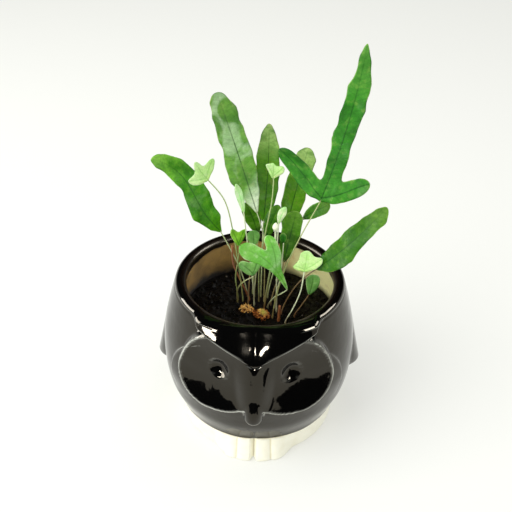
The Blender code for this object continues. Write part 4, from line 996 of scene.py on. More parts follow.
def make_pot(pot):
    """Build the fine pot: relief in rows that follow the brow, rounded lip, uneven glaze edges."""
    angles = pot_columns()
    count = len(angles)
    rows = []
    finish = []
    edge = []
    inner = []
    for radii, heights, kind, inside_the_lip in pot_rows(angles, pot.inner_glaze / MM):
        rows.append([(r * math.sin(a), -r * math.cos(a), z) for a, r, z in zip(angles, radii, heights)])
        for a, z in zip(angles, heights):
            edge.append(face_edge(a * ARC_RADIUS, z) if kind == GLAZE and z < LIP_HEIGHT else FAR)
        inner += [inside_the_lip] * count
        finish.append(kind)
    vertices = [tuple(p) for row in rows for p in row]
    faces = ring_faces(len(rows) - 1, count)
    # A band between two rows has the second row's finish, but the step up to the black glaze is cream
    kinds = []
    for here, above in zip(finish, finish[1:]):
        kinds += [above if above != GLAZE or here == GLAZE else here] * count
    # Base and floor, each closed by triangles round its middle
    for start, centre in ((0, 0.0), ((len(rows) - 1) * count, POT_FLOOR)):
        vertices.append((0.0, 0.0, centre))
        for j in range(count):
            faces.append((start + j, start + (j + 1) % count, len(vertices) - 1))
            kinds.append(CLAY)
    # Marks for the shaders: sharp edges for the glaze's painted highlight, hollows for the cream's painted
    # shade, the damp stain and painted shade low on the clay, and the painted light on its lit side
    grid = np.array(rows)
    bend = convexity(grid)
    # How sharply an edge stands out, which places the glaze's painted highlight
    thin = np.clip((bend - 0.6) / 1.2, 0.0, 1.0)
    thin = (thin + np.roll(thin, 1, 1) + np.roll(thin, -1, 1)) / 3.0
    # Hollows, where the cream glaze gets its painted shade
    pool = np.clip((-bend - 0.05) / 0.7, 0.0, 1.0) * 0.8
    height = grid[:, :, 2]
    # Damp stain and painted shade, from the dry height down to the soaked one
    damp = np.clip((DRY_UNSHADED_HEIGHT - height) / (DRY_UNSHADED_HEIGHT - SOAKED_SHADED_HEIGHT), 0.0, 1.0)
    # Painted light on the side of the mouth that faces the light, fading in above the soaked height
    turn = np.abs(np.degrees(np.arctan2(grid[:, :, 0], -grid[:, :, 1])) - PAINTED_LIGHT_MIDDLE)
    crust = np.clip((PAINTED_LIGHT_REACH - turn) / PAINTED_LIGHT_FADE, 0.0, 1.0)
    crust = crust * np.clip((height - SOAKED_SHADED_HEIGHT) / PAINTED_LIGHT_RISE, 0.0, 1.0)
    marks = {}
    for mark, field in (("thin", thin), ("pool", pool), ("damp", damp), ("crust", crust)):
        marks[mark] = np.concatenate([field.ravel(), [0.0, 1.0]])
    marks["edge"] = edge + [FAR, FAR]
    marks["inner"] = inner + [0.0, 0.0]
    materials = [gloss_glaze(pot), cream_glaze(pot), bare_clay(pot)]
    piece = piece_from("glazed_owl_pot", vertices, faces, materials, kinds, marks)
    place(piece, "black_glaze", "owl_pot")


def noise_at(x, y, z, scale, octaves=3):
    """Smooth noise from about -1 to 1 at a point in millimetres, with features scale millimetres wide."""
    return noise.fractal(Vector((x, y, z)) / scale, 0.8, 2.1, octaves)


def soil_height(x, y):
    """Height of the soil's surface before its grit, low at the wall and mounded in the middle."""
    draw = random.Random(7)
    phases = [draw.uniform(0.0, 6.3) for _ in range(4)]
    wave = math.sin(0.42 * x + phases[0]) * math.cos(0.36 * y + phases[1])
    wave += 0.7 * math.sin(0.21 * x - 0.5 * y + phases[2])
    wave += 0.4 * math.sin(0.9 * x + 0.7 * y + phases[3])
    edge = profile_radius(INNER_PROFILE, SOIL_EDGE_TOP) - GAP - SOIL_MARGIN
    mound = smooth_step(edge, 22.0, math.hypot(x, y))
    top = SOIL_EDGE_TOP + (SOIL_TOP - SOIL_EDGE_TOP) * mound
    return top + SOIL_RELIEF * wave / 2.1 * (0.3 + 0.7 * mound)


def soil_grit(x, y):
    """Clods, crumbs and grit on the soil, as a height in millimetres."""
    clods = 0.9 * noise_at(x, y, 3.0, 6.5, 2)
    crumbs = 0.55 * abs(noise_at(x, y, 11.0, 2.2, 3))
    grit = 0.25 * noise_at(x, y, 23.0, 0.9, 2)
    return clods + crumbs + grit - 0.25


def potting_mix(soil):
    """Damp peat and bark potting mix.

    Almost black and matt, with a wet glint on a few faces and browner crumbs where it has dried.
    """
    material, tree, shader, where, _ = new_material("damp_peat_potting_mix")
    # Crumbs about 2 mm across, fibres and dust under 1 mm, and damper patches of about 4.5 mm
    crumb = add_node(tree, "TexVoronoi", {"Vector": where, "Scale": 480.0})
    dust = add_node(tree, "TexNoise", {"Vector": where, "Scale": 1400.0, "Detail": 4.0})
    patch = add_node(tree, "TexNoise", {"Vector": where, "Scale": 220.0, "Detail": 3.0})
    dry = add_node(tree, "Math", {0: dust, 1: patch}, operation="MULTIPLY")
    dry = add_node(tree, "MapRange", {"Value": dry, "From Min": 0.2, "From Max": 0.46})
    colour = {"Factor": dry, "A": opaque(soil.soil), "B": opaque(soil.soil_light)}
    wet = {"Value": patch, "From Min": 0.35, "From Max": 0.7, "To Min": 0.42, "To Max": 0.95}
    height = add_node(tree, "Math", {0: dust, 1: crumb.outputs["Distance"]}, operation="ADD")
    feed(tree, shader, {
        "Base Color": add_node(tree, "Mix", colour, data_type="RGBA"),
        "Roughness": add_node(tree, "MapRange", wet),
        "Specular IOR Level": 0.22,
        "Normal": add_node(tree, "Bump", {"Height": height, "Strength": 0.7, "Distance": 0.0006}),
    })
    return material


def mineral_grit(soil):
    """Pumice and sand grains in the mix: pale, matt and dusty."""
    material, tree, shader, where, _ = new_material("pumice_and_sand_grit")
    # Dust in spots of about 1.5 mm
    dust = add_node(tree, "TexNoise", {"Vector": where, "Scale": 700.0, "Detail": 3.0})
    colour = {"Factor": dust, "A": opaque(soil.soil_light), "B": opaque(soil.speck)}
    feed(tree, shader, {
        "Base Color": add_node(tree, "Mix", colour, data_type="RGBA"),
        "Roughness": 0.9,
        "Normal": add_node(tree, "Bump", {"Height": dust, "Strength": 0.5, "Distance": 0.0002}),
    })
    return material


def make_soil(soil):
    """Build the soil's fine surface down to the pot's floor, closed all round."""
    # Rings of points on the surface, from the wall inwards
    edge = profile_radius(INNER_PROFILE, SOIL_EDGE_TOP) - GAP - SOIL_MARGIN
    flat = [(0.0, 0.0)]
    radius = edge
    outer = 0
    while radius > 0.5:
        count = max(6, round(2.0 * math.pi * radius / SOIL_SPACING))
        outer = outer or count
        shift = 0.5 * (round(radius * 7.0) % 2)
        for j in range(count):
            turn = 2.0 * math.pi * (j + shift) / count
            flat.append((radius * math.cos(turn), radius * math.sin(turn)))
        radius -= SOIL_SPACING
    found, _, faces, _, _, _ = geometry.delaunay_2d_cdt([Vector(p) for p in flat], [], [], 0, 0.00001)
    vertices = []
    for x, y in found:
        fade = smooth_step(edge, edge - 2.0, math.hypot(x, y))
        vertices.append((x, y, soil_height(x, y) + soil_grit(x, y) * fade))
    faces = [tuple(face) for face in faces]
    # Side along the pot's wall, down to the floor
    ring = list(range(1, outer + 1))
    rim = vertices[1 : outer + 1]
    for z in (*INNER_ROWS, POT_FLOOR + GAP):
        reach = (profile_radius(INNER_PROFILE, z) - GAP - SOIL_MARGIN) / edge
        lower = list(range(len(vertices), len(vertices) + outer))
        vertices.extend((x * reach, y * reach, z) for x, y, _ in rim)
        for j in range(outer):
            k = (j + 1) % outer
            faces.append((ring[j], ring[k], lower[k], lower[j]))
        ring = lower
    faces.append(tuple(ring))
    piece = piece_from("potting_soil", vertices, faces, [potting_mix(soil)])
    place(piece, "potting_soil", "soil")


def lump(centre, size, draw):
    """Points and faces of one irregular crumb with 42 corners."""
    work = bmesh.new()
    bmesh.ops.create_icosphere(work, subdivisions=2, radius=1.0)
    turn = Quaternion([draw.gauss(0, 1) for _ in range(4)]).normalized()
    stretch = (draw.uniform(0.7, 1.3), draw.uniform(0.6, 1.1), draw.uniform(0.5, 0.9))
    shift = draw.uniform(0.0, 90.0)
    points = []
    for v in work.verts:
        reach = 1.0 + CRUMB_ROUGHNESS * noise.noise(v.co * 1.7 + Vector((shift, 0.0, 0.0)))
        p = Vector([v.co[axis] * stretch[axis] * reach * size for axis in range(3)])
        points.append(Vector(centre) + turn @ p)
    faces = [tuple(v.index for v in face.verts) for face in work.faces]
    work.free()
    return points, faces


def scatter(name, count, sizes, seed, material, sink):
    """Scatter lumps over the soil, away from the wall, in one piece."""
    draw = random.Random(seed)
    vertices = []
    faces = []
    while count > 0:
        turn = draw.uniform(0.0, 2.0 * math.pi)
        radius = CRUMB_SPREAD * math.sqrt(draw.random())
        x, y = radius * math.cos(turn), radius * math.sin(turn)
        size = draw.uniform(*sizes) * (1.0 if draw.random() < 0.8 else 1.6)
        if radius + size > CRUMB_LIMIT:
            continue
        z = soil_height(x, y) + soil_grit(x, y) + size * sink
        points, sides = lump((x, y, z), size, draw)
        start = len(vertices)
        vertices.extend(points)
        faces.extend(tuple(start + i for i in side) for side in sides)
        count -= 1
    place(piece_from(name, vertices, faces, [material]), "potting_soil")


def make_crumbs(soil):
    """Scatter loose crumbs and pale grit over the soil."""
    size = soil.crumb / MM
    mix = bpy.data.materials["damp_peat_potting_mix"]
    scatter("soil_crumbs", soil.crumbs, (0.45 * size, 1.15 * size), 11, mix, 0.1)
    scatter("soil_grit", soil.grits, (0.22 * size, 0.5 * size), 23, mineral_grit(soil), 0.4)


def rhizome_at(u):
    """Point, tangent, side, upward direction and radius of the rhizome at u from 0 to 1."""
    ahead, point, behind = (
        Vector([curve_value([k[axis] for k in RHIZOME_PATH], min(1.0, max(0.0, s))) for axis in range(3)])
        for s in (u + 0.02, u, u - 0.02)
    )
    tangent = (ahead - behind).normalized()
    side = tangent.cross(Vector((0.0, 0.0, 1.0))).normalized()
    return point, tangent, side, side.cross(tangent), curve_value(RHIZOME_RADII, u)


def rhizome_surface(u, turn):
    """Point on the rhizome's skin, its outward direction and the rhizome's tangent there."""
    point, tangent, side, upward, radius = rhizome_at(u)
    bump = 0.14 * math.sin(5.0 * turn + 9.0 * u) + 0.12 * math.sin(23.0 * u + 2.0 * turn)
    outward = side * math.cos(turn) + upward * math.sin(turn)
    skin = point + outward * radius
    reach = radius * (1.0 + 0.5 * bump) + 0.22 * noise_at(*skin, 1.3)
    return point + outward * reach, outward, tangent


def rhizome_bark(rhizome):
    """Living rhizome of a fern: corky brown bark, with soft new growth on the big lump.

    Matt and fibrous under the scales, greener at the growing point.
    """
    material, tree, shader, where, read = new_material("corky_rhizome_bark", "fresh")
    colour = {"Factor": read["fresh"], "A": opaque(rhizome.bark), "B": opaque(rhizome.bud)}
    colour = add_node(tree, "Mix", colour, data_type="RGBA")
    # Fibres about 1 mm long
    fibre = add_node(tree, "TexNoise", {"Vector": where, "Scale": 900.0, "Detail": 4.0})
    dark = {"Value": fibre, "From Min": 0.3, "From Max": 0.7, "To Min": 0.55, "To Max": 1.25}
    colour = {"Factor": 1.0, "A": colour, "B": add_node(tree, "MapRange", dark)}
    feed(tree, shader, {
        "Base Color": add_node(tree, "Mix", colour, data_type="RGBA", blend_type="MULTIPLY"),
        "Roughness": 0.8,
        "Normal": add_node(tree, "Bump", {"Height": fibre, "Strength": 0.8, "Distance": 0.0005}),
    })
    return material


def rhizome_scales(rhizome):
    """Papery scales that clothe the rhizome: golden brown, dry and a little glossy, pale at the tips."""
    material, tree, shader, where, read = new_material("papery_rhizome_scales", "along", "fresh", "ripe")
    # Darker and paler scales in patches of about 2.5 mm
    patch = add_node(tree, "TexNoise", {"Vector": where, "Scale": 420.0, "Detail": 2.0})
    uneven = {"Value": patch, "From Min": 0.35, "From Max": 0.65, "To Min": -0.2, "To Max": 0.2}
    uneven = add_node(tree, "MapRange", uneven)
    # Paler on top and on the small lump, darker towards the soil
    share = add_node(tree, "Math", {0: read["along"], 1: 0.45}, operation="MULTIPLY")
    share = add_node(tree, "Math", {0: share, 1: read["ripe"]}, operation="ADD")
    share = add_node(tree, "Math", {0: share, 1: uneven}, operation="ADD", use_clamp=True)
    tints = ((0.0, rhizome.bark), (0.45, rhizome.scale_colour), (1.0, rhizome.scale_tip))
    stops = [(position, opaque(tint)) for position, tint in tints]
    colour = add_node(tree, "ValToRGB", {"Fac": share}, stops)
    colour = {"Factor": read["fresh"], "A": colour, "B": opaque(rhizome.bud)}
    feed(tree, shader, {"Base Color": add_node(tree, "Mix", colour, data_type="RGBA"), "Roughness": 0.5})
    return material


def freshness(point):
    """Share of new green growth at a point on the rhizome: on top of the big lump."""
    distance = (Vector(point) - Vector(GROWING_POINT)).length
    return 1.0 - smooth_step(0.8, 2.6, distance)


def scale_paleness(point):
    """How pale the scales are: pale gold on top and on the small lump, dark towards the soil."""
    x, _, z = point
    return 0.6 * smooth_step(69.4, 72.6, z) + 0.4 * smooth_step(-1.5, -4.5, x)


def make_rhizome(rhizome):
    """Build the creeping rhizome's body, closed by a short point at each end."""
    sides, steps = 40, 96
    vertices = []
    for i in range(steps + 1):
        for j in range(sides):
            vertices.append(rhizome_surface(i / steps, 2.0 * math.pi * j / sides)[0])
    faces = ring_faces(steps, sides)
    for start, u, way in ((0, 0.0, -1.0), (steps * sides, 1.0, 1.0)):
        point, tangent, _, _, _ = rhizome_at(u)
        vertices.append(point + tangent * 0.9 * way)
        for j in range(sides):
            faces.append((start + j, start + (j + 1) % sides, len(vertices) - 1))
    marks = {"fresh": [freshness(v) for v in vertices]}
    body = piece_from("creeping_rhizome", vertices, faces, [rhizome_bark(rhizome)], marks=marks)
    place(body, "rhizome_bark", "rhizome")


def make_scales(rhizome):
    """Build the papery scales that lap over the rhizome."""
    draw = random.Random(31)
    vertices = []
    faces = []
    along = []
    fresh = []
    ripe = []
    for _ in range(rhizome.scales):
        u = draw.random() ** 0.9
        if abs(u - 0.47) < 0.07 and draw.random() < 0.8:
            continue
        turn = draw.uniform(-0.35, math.pi + 0.35)
        foot, outward, tangent = rhizome_surface(u, turn)
        lean = (tangent * draw.uniform(-1.1, -0.3) + outward * draw.uniform(0.15, 0.9)).normalized()
        lean = Quaternion(outward, draw.uniform(-1.2, 1.2)) @ lean
        across = lean.cross(outward).normalized()
        length = draw.uniform(*SCALE_LENGTHS)
        width = draw.uniform(*SCALE_HALF_WIDTHS)
        lift = draw.uniform(0.0, 0.3)
        spine = [foot - outward * 0.15, foot + lean * 0.5 * length, foot + lean * length - outward * lift]
        start = len(vertices)
        for share, half in ((0, 0.7), (1, 1.0)):
            for way in (-1.0, 0.0, 1.0):
                crown = outward * 0.07 * (1.0 - abs(way))
                vertices.append(spine[share] + across * half * way * width + crown)
                along.append(0.5 * share)
        vertices.append(spine[2])
        along.append(1.0)
        fresh.extend([freshness(foot) * 0.8] * 7)
        ripe.extend([scale_paleness(foot)] * 7)
        for corners in ((0, 1, 4, 3), (1, 2, 5, 4), (3, 4, 6), (4, 5, 6)):
            faces.append(tuple(start + corner for corner in corners))
    marks = {"along": along, "fresh": fresh, "ripe": ripe}
    scales = piece_from("rhizome_scales", vertices, faces, [rhizome_scales(rhizome)], marks=marks)
    give_thickness(scales, SCALE_THICKNESS)
    place(scales, "rhizome_bark")


def give_thickness(piece, millimetres):
    """Turn a piece's thin sheets into closed bodies, with the modifier applied."""
    step = piece.modifiers.new("thickness", "SOLIDIFY")
    step.thickness = millimetres * MM
    step.offset = 0.0
    with bpy.context.temp_override(object=piece, active_object=piece):
        bpy.ops.object.modifier_apply(modifier=step.name)


def tube(route, radii, sides):
    """Sweep a closed tube along a route, without twist."""
    vertices = []
    normal = Vector((1.0, 0.0, 0.0))
    for i, point in enumerate(route):
        tangent = (route[min(len(route) - 1, i + 1)] - route[max(0, i - 1)]).normalized()
        normal = (normal - tangent * normal.dot(tangent)).normalized()
        side = tangent.cross(normal)
        for j in range(sides):
            turn = 2.0 * math.pi * j / sides
            vertices.append(point + (normal * math.cos(turn) + side * math.sin(turn)) * radii[i])
    faces = ring_faces(len(route) - 1, sides)
    last = (len(route) - 1) * sides
    faces.append(tuple(range(sides)))
    faces.append(tuple(last + j for j in range(sides)))
    return vertices, faces


def catmull(p0, p1, p2, p3, t):
    """Point on a smooth curve from p1 to p2 with uneven knot spacing."""
    k1 = math.sqrt(max((p1 - p0).length, 1e-6))
    k2 = k1 + math.sqrt(max((p2 - p1).length, 1e-6))
    k3 = k2 + math.sqrt(max((p3 - p2).length, 1e-6))
    k = k1 + t * (k2 - k1)
    a1 = p0 * ((k1 - k) / k1) + p1 * (k / k1)
    a2 = p1 * ((k2 - k) / (k2 - k1)) + p2 * ((k - k1) / (k2 - k1))
    a3 = p2 * ((k3 - k) / (k3 - k2)) + p3 * ((k - k2) / (k3 - k2))
    b1 = a1 * ((k2 - k) / k2) + a2 * (k / k2)
    b2 = a2 * ((k3 - k) / (k3 - k1)) + a3 * ((k - k1) / (k3 - k1))
    return b1 * ((k2 - k) / (k2 - k1)) + b2 * ((k - k1) / (k2 - k1))


def stalk_route(foot, points, ends):
    """Route of a stalk: straight down into its hole, then a smooth curve to the blade."""
    x, y = foot
    knots = [Vector((x, y, SOIL_TOP - STALK_DEPTH)), Vector((x, y, SOIL_TOP + 1.2))]
    knots += [Vector(p) for p in points]
    knots += [Vector(p) for p in ends]
    route = [knots[0], knots[1]]
    for i in range(1, len(knots) - 1):
        p0 = knots[i - 1] if i > 1 else knots[1] - Vector((0.0, 0.0, 6.0))
        p1 = knots[i]
        p2 = knots[i + 1]
        p3 = knots[i + 2] if i + 2 < len(knots) else p2 + (p2 - p1)
        steps = max(1, round((p2 - p1).length / STALK_STEP))
        route += [catmull(p0, p1, p2, p3, j / steps) for j in range(1, steps + 1)]
    return route


def half_width(widths, u, tip):
    """Half-width at u from base to tip, closed to a round or pointed end over the share tip."""
    width = curve_value(widths, u)
    if u > 1.0 - tip:
        width *= math.sqrt(max(0.0, 1.0 - ((u - 1.0 + tip) / tip) ** 2))
    return max(width, 0.0)


def strap_outline(length, left, right, tip, uneven, phase):
    """Outline of a strap blade in its own plane, with an uneven margin."""
    steps = max(6, round(length / 0.9))
    shares = [(1.0 - tip) * i / steps for i in range(steps)]
    shares += [1.0 - tip + tip * math.sin(0.5 * math.pi * i / 9) for i in range(9)]

    def reach(widths, u, side):
        y = u * length
        wave = math.sin(y / 1.9 + phase + side) + 0.7 * math.sin(y / 1.15 + 2.0 * phase - side)
        wave += 0.45 * math.sin(y / 0.62 + 3.0 * phase + 2.0 * side)
        width = half_width(widths, u, tip)
        return width + uneven * wave * min(1.0, width / 4.0)

    outline = [(reach(right, u, 0.0), u * length) for u in shares]
    outline.append((0.0, length))
    outline += [(-reach(left, u, 1.7), u * length) for u in reversed(shares)]
    return outline


def lobe_outline(angle, length, widest, base):
    """Outline of a side lobe that leaves the midrib's foot at an angle."""
    scaled = [w * widest for w in (0.35, 0.82, 1.0, 1.0, 0.92, 0.75)]
    turn = math.radians(angle)
    tip = min(0.5, widest / length)
    return [
        (x * math.cos(turn) + y * math.sin(turn), y * math.cos(turn) - x * math.sin(turn) + base)
        for x, y in strap_outline(length, scaled, scaled, tip, 0.05, angle)
    ]


def triangulate(points, rings):
    """Triangulate flat points inside closed rings, with all triangles turned the same way."""
    flat = [Vector(p) for p in points]
    found, _, triangles, _, _, _ = geometry.delaunay_2d_cdt(flat, [], rings, 1, 0.0001)
    turned = []
    for triangle in triangles:
        a, b, c = [found[i] for i in triangle]
        turned.append(tuple(triangle if (b - a).cross(c - a) > 0.0 else triangle[::-1]))
    return np.array([tuple(p) for p in found]), turned


def joined_outline(outlines):
    """Walk round the union of a blade's strap and lobes, and round off the notches between them."""
    points = []
    rings = []
    for outline in outlines:
        rings.append(list(range(len(points), len(points) + len(outline))))
        points.extend(outline)
    found, triangles = triangulate(points, rings)
    # An edge of one triangle alone is on the union's outline
    edges = set()
    for triangle in triangles:
        edges.update(zip(triangle, triangle[1:] + triangle[:1]))
    after = {a: b for a, b in edges if (b, a) not in edges}
    loops = []
    while after:
        start = next(iter(sorted(after)))
        loop = [start]
        while after.get(loop[-1], start) != start:
            loop.append(after.pop(loop[-1]))
        after.pop(loop[-1], None)
        loops.append(loop)
    # The longest loop, with its points set at an even spacing
    loop = max(loops, key=len)
    ring = found[loop + loop[:1]]
    walked = np.concatenate([[0.0], np.cumsum(np.linalg.norm(np.diff(ring, axis=0), axis=1))])
    count = max(16, round(walked[-1] / OUTLINE_SPACING))
    marks = np.arange(count) * walked[-1] / count
    even = np.stack([np.interp(marks, walked, ring[:, axis]) for axis in (0, 1)], axis=1)
    # Notches, where the outline bends inwards, are smoothed
    ahead = np.roll(even, -4, 0) - even
    behind = even - np.roll(even, 4, 0)
    bend = behind[:, 0] * ahead[:, 1] - behind[:, 1] * ahead[:, 0]
    notch = np.clip(-bend / 3.0, 0.0, 1.0)
    for _ in range(5):
        notch = np.maximum(notch, 0.8 * np.maximum(np.roll(notch, 1), np.roll(notch, -1)))
    for _ in range(22):
        middle = 0.5 * (np.roll(even, 1, 0) + np.roll(even, -1, 0))
        even += 0.7 * notch[:, None] * (middle - even)
    return even


def inside(points, ring):
    """Which of the points lie inside a closed ring."""
    x, y = points[:, 0:1], points[:, 1:2]
    x0, y0 = ring[:, 0], ring[:, 1]
    x1, y1 = np.roll(x0, -1), np.roll(y0, -1)
    crosses = (y0 > y) != (y1 > y)
    slope = (x1 - x0) / np.where(y1 == y0, 1e-9, y1 - y0)
    return (np.sum(crosses & (x < x0 + (y - y0) * slope), axis=1) % 2) == 1


def distance_to(points, starts, ends):
    """Distance from each point to the nearest of some segments, and the share along that one."""
    run = ends - starts
    size = np.sum(run * run, axis=1) + 1e-12
    share = np.clip(np.sum((points[:, None] - starts) * run, axis=2) / size, 0.0, 1.0)
    gap = np.linalg.norm(points[:, None] - (starts + share[..., None] * run), axis=2)
    nearest = np.argmin(gap, axis=1)
    rows = np.arange(len(points))
    return gap[rows, nearest], share[rows, nearest], nearest


def rib_frame(frond, u):
    """Point, tangent, side and face direction on a blade's midrib, u from 0 at its base to 1."""
    base, middle, tip = [Vector(p) for p in frond["rib"]]
    control = 2.0 * middle - 0.5 * (base + tip)
    point = base * (1 - u) ** 2 + control * 2 * u * (1 - u) + tip * u**2
    tangent = ((control - base) * 2 * (1 - u) + (tip - control) * 2 * u).normalized()
    face = Vector(frond["face"])
    face = (face - tangent * face.dot(tangent)).normalized()
    return point, tangent, tangent.cross(face), face


def blade_point(frond, length, x, y):
    """Bend a point of the flat blade onto the curved, troughed and waved blade."""
    u = y / length
    point, tangent, side, face = rib_frame(frond, min(1.0, max(0.0, u)))
    if not 0.0 <= u <= 1.0:
        point = point + tangent * (y - min(length, max(0.0, y)))
    edge = min(1.0, abs(x) / 5.0)
    phase = 0.0 if x > 0.0 else 1.9
    lift = frond["cup"] * edge * edge
    lift += frond["wave"] * edge * edge * math.sin(2.0 * math.pi * frond["waves"] * u + phase)
    lift += 0.16 * edge * edge * math.sin(y / 1.25 + 3.0 * phase)
    sway = frond.get("sway", 0.0) * math.sin(2.0 * math.pi * min(1.0, max(0.0, u)))
    return point + side * (x + sway) + face * lift


def flat_mesh(frond, length, spacing):
    """Points and triangles of the flat blade, with the marks that its shader reads."""
    phase = 0.37 * len(frond["name"]) + frond["foot"][0]
    uneven = 0.08 + 0.2 * smooth_step(30.0, 60.0, length)
    outlines = [strap_outline(length, frond["left"], frond["right"], frond["tip"], uneven, phase)]
    ribs = [((0.0, 0.0), (0.0, length))]
    fork = frond.get("lobe_base", 2.0)
    for angle, reach, widest in frond.get("lobes", ()):
        outlines.append(lobe_outline(angle, reach, widest, fork))
        turn = math.radians(angle)
        ribs.append(((0.0, fork), (reach * math.sin(turn), fork + reach * math.cos(turn))))
    ring = joined_outline(outlines)
    starts = np.array([rib[0] for rib in ribs])
    ends = np.array([rib[1] for rib in ribs])
    # Grid of points, clear of the midribs
    low, high = ring.min(0), ring.max(0)
    rows = np.arange(low[1], high[1], spacing * 0.87)
    columns = np.arange(low[0], high[0], spacing)
    grid = np.array([(x + 0.5 * spacing * (i % 2), y) for i, y in enumerate(rows) for x in columns])
    gap, _, _ = distance_to(grid, starts, ends)
    grid = grid[gap > RIB_CLEARANCE]
    # Three lines of points along each midrib
    lines = []
    for start, end in zip(starts, ends):
        size = np.linalg.norm(end - start)
        way = (end - start) / size
        across = np.array((way[1], -way[0]))
        for step in np.arange(0.3, size, spacing):
            for offset in (-RIB_HALF_WIDTH, 0.0, RIB_HALF_WIDTH):
                lines.append(start + way * step + across * offset)
    # Only the points inside the outline and clear of it are kept
    points = np.vstack([grid, np.array(lines)])
    points = points[inside(points, ring)]
    margin, _, _ = distance_to(points, ring, np.roll(ring, -1, 0))
    points = points[margin > MARGIN_CLEARANCE]
    every = np.vstack([ring, points])
    flat, faces = triangulate(every, [list(range(len(ring)))])
    gap, share, nearest = distance_to(flat, starts, ends)
    margin, _, _ = distance_to(flat, ring, np.roll(ring, -1, 0))
    run = np.linalg.norm(ends - starts, axis=1)[nearest] * share
    along = (flat[:, 1] - frond.get("slant", 0.0) * flat[:, 0]) / length
    marks = {"rib": gap, "vein": run - 0.55 * gap, "margin": margin, "along": np.clip(along, 0.0, 1.0)}
    return flat, faces, marks


def thick_blade(frond, length, settings):
    """Points, faces and marks of a blade: bent to its curve, with its thickness and its keel."""
    flat, triangles, marks = flat_mesh(frond, length, settings.spacing / MM)
    # The bent sheet and its normals
    sheet = np.array([tuple(blade_point(frond, length, x, y)) for x, y in flat])
    corners = sheet[np.array(triangles)]
    facing = np.cross(corners[:, 1] - corners[:, 0], corners[:, 2] - corners[:, 0])
    normals = np.zeros_like(sheet)
    for corner in range(3):
        np.add.at(normals, np.array(triangles)[:, corner], facing)
    normals /= np.linalg.norm(normals, axis=1, keepdims=True) + 1e-12
    # Upper and lower side, thinner at the margin, with the midrib's groove and keel
    gap = marks["rib"][:, None]
    along = marks["along"][:, None]
    margin = marks["margin"][:, None]
    thick = settings.thickness / MM * (0.4 + 0.6 * np.clip(margin / 1.4, 0.0, 1.0)) / 2.0
    keel = np.exp(-((gap / KEEL_HALF_WIDTH) ** 2)) * (1.0 - 0.75 * along) * np.clip(margin / 1.2, 0.0, 1.0)
    top = sheet + normals * (thick - GROOVE_DEPTH * keel)
    under = sheet - normals * (thick + KEEL_DEPTH * keel)
    # Faces of both sides, and the margin that joins them
    count = len(flat)
    faces = []
    sides = {}
    for a, b, c in triangles:
        faces.append((a, b, c))
        faces.append((a + count, c + count, b + count))
        for edge in ((a, b), (b, c), (c, a)):
            sides[edge] = True
    for a, b in sides:
        if (b, a) not in sides:
            faces.append((b, a, a + count, b + count))
    marks = {mark: np.concatenate([values, values]) for mark, values in marks.items()}
    marks["under"] = np.concatenate([np.zeros(count), np.ones(count)])
    return [tuple(p) for p in (*top, *under)], faces, marks


def frond_stalk(frond, length):
    """Points and faces of a stalk that runs on into the midrib, and each point's share of its height."""
    # The stalk sinks slowly into the midrib, along the blade's first part
    base, _, _, face = rib_frame(frond, 0.0)
    ends = [base - face * 0.12]
    for i in range(1, 9):
        point, _, _, face = rib_frame(frond, 0.05 * i * min(1.0, 26.0 / length))
        ends.append(point - face * (0.12 + 0.06 * i))
    route = stalk_route(frond["foot"], frond["stalk"], ends)
    walked = np.concatenate([[0.0], np.cumsum([(b - a).length for a, b in zip(route, route[1:])])])
    blade_start = walked[-1] - sum((b - a).length for a, b in zip(ends, ends[1:]))
    # It is thicker at the soil and thins out under the blade
    radii = []
    for at in walked:
        rise = min(1.0, at / blade_start)
        fade = max(0.0, at - blade_start) / (walked[-1] - blade_start + 1e-6)
        swell = 0.22 * math.exp(-(((at - STALK_DEPTH) / 2.2) ** 2))
        radii.append((STALK_RADIUS - 0.08 * rise + swell) * (1.0 - 0.8 * fade))
    points, faces = tube(route, radii, STALK_SIDES)
    rise = np.clip((walked - STALK_DEPTH) / (blade_start - STALK_DEPTH), 0.0, 1.0)
    return points, faces, np.repeat(rise, STALK_SIDES)


def make_frond(frond, settings, materials):
    """Build one fine frond: a thin veined blade and its wiry stalk, in one piece."""
    length = sum(
        (rib_frame(frond, (i + 1) / 16)[0] - rib_frame(frond, i / 16)[0]).length for i in range(16)
    )
    vertices, faces, marks = thick_blade(frond, length, settings)
    points, skins, rise = frond_stalk(frond, length)
    kinds = [0] * len(faces) + [1] * len(skins)
    faces += [tuple(len(vertices) + i for i in skin) for skin in skins]
    vertices += [tuple(p) for p in points]
    for mark, values in marks.items():
        marks[mark] = np.concatenate([values, rise if mark == "along" else np.zeros(len(points))])
    _, stalk_shade, slot = LEAF_HABITS[frond["leaf"]]
    marks["shade"] = np.full(len(vertices), frond.get("stalk_shade", stalk_shade))
    name = frond["name"].replace("frond_", "strap_frond_").replace("young_", "small_frond_")
    piece = piece_from(name, vertices, faces, [materials[frond["leaf"]], materials["stalk"]], kinds, marks)
    place(piece, slot, frond["name"])


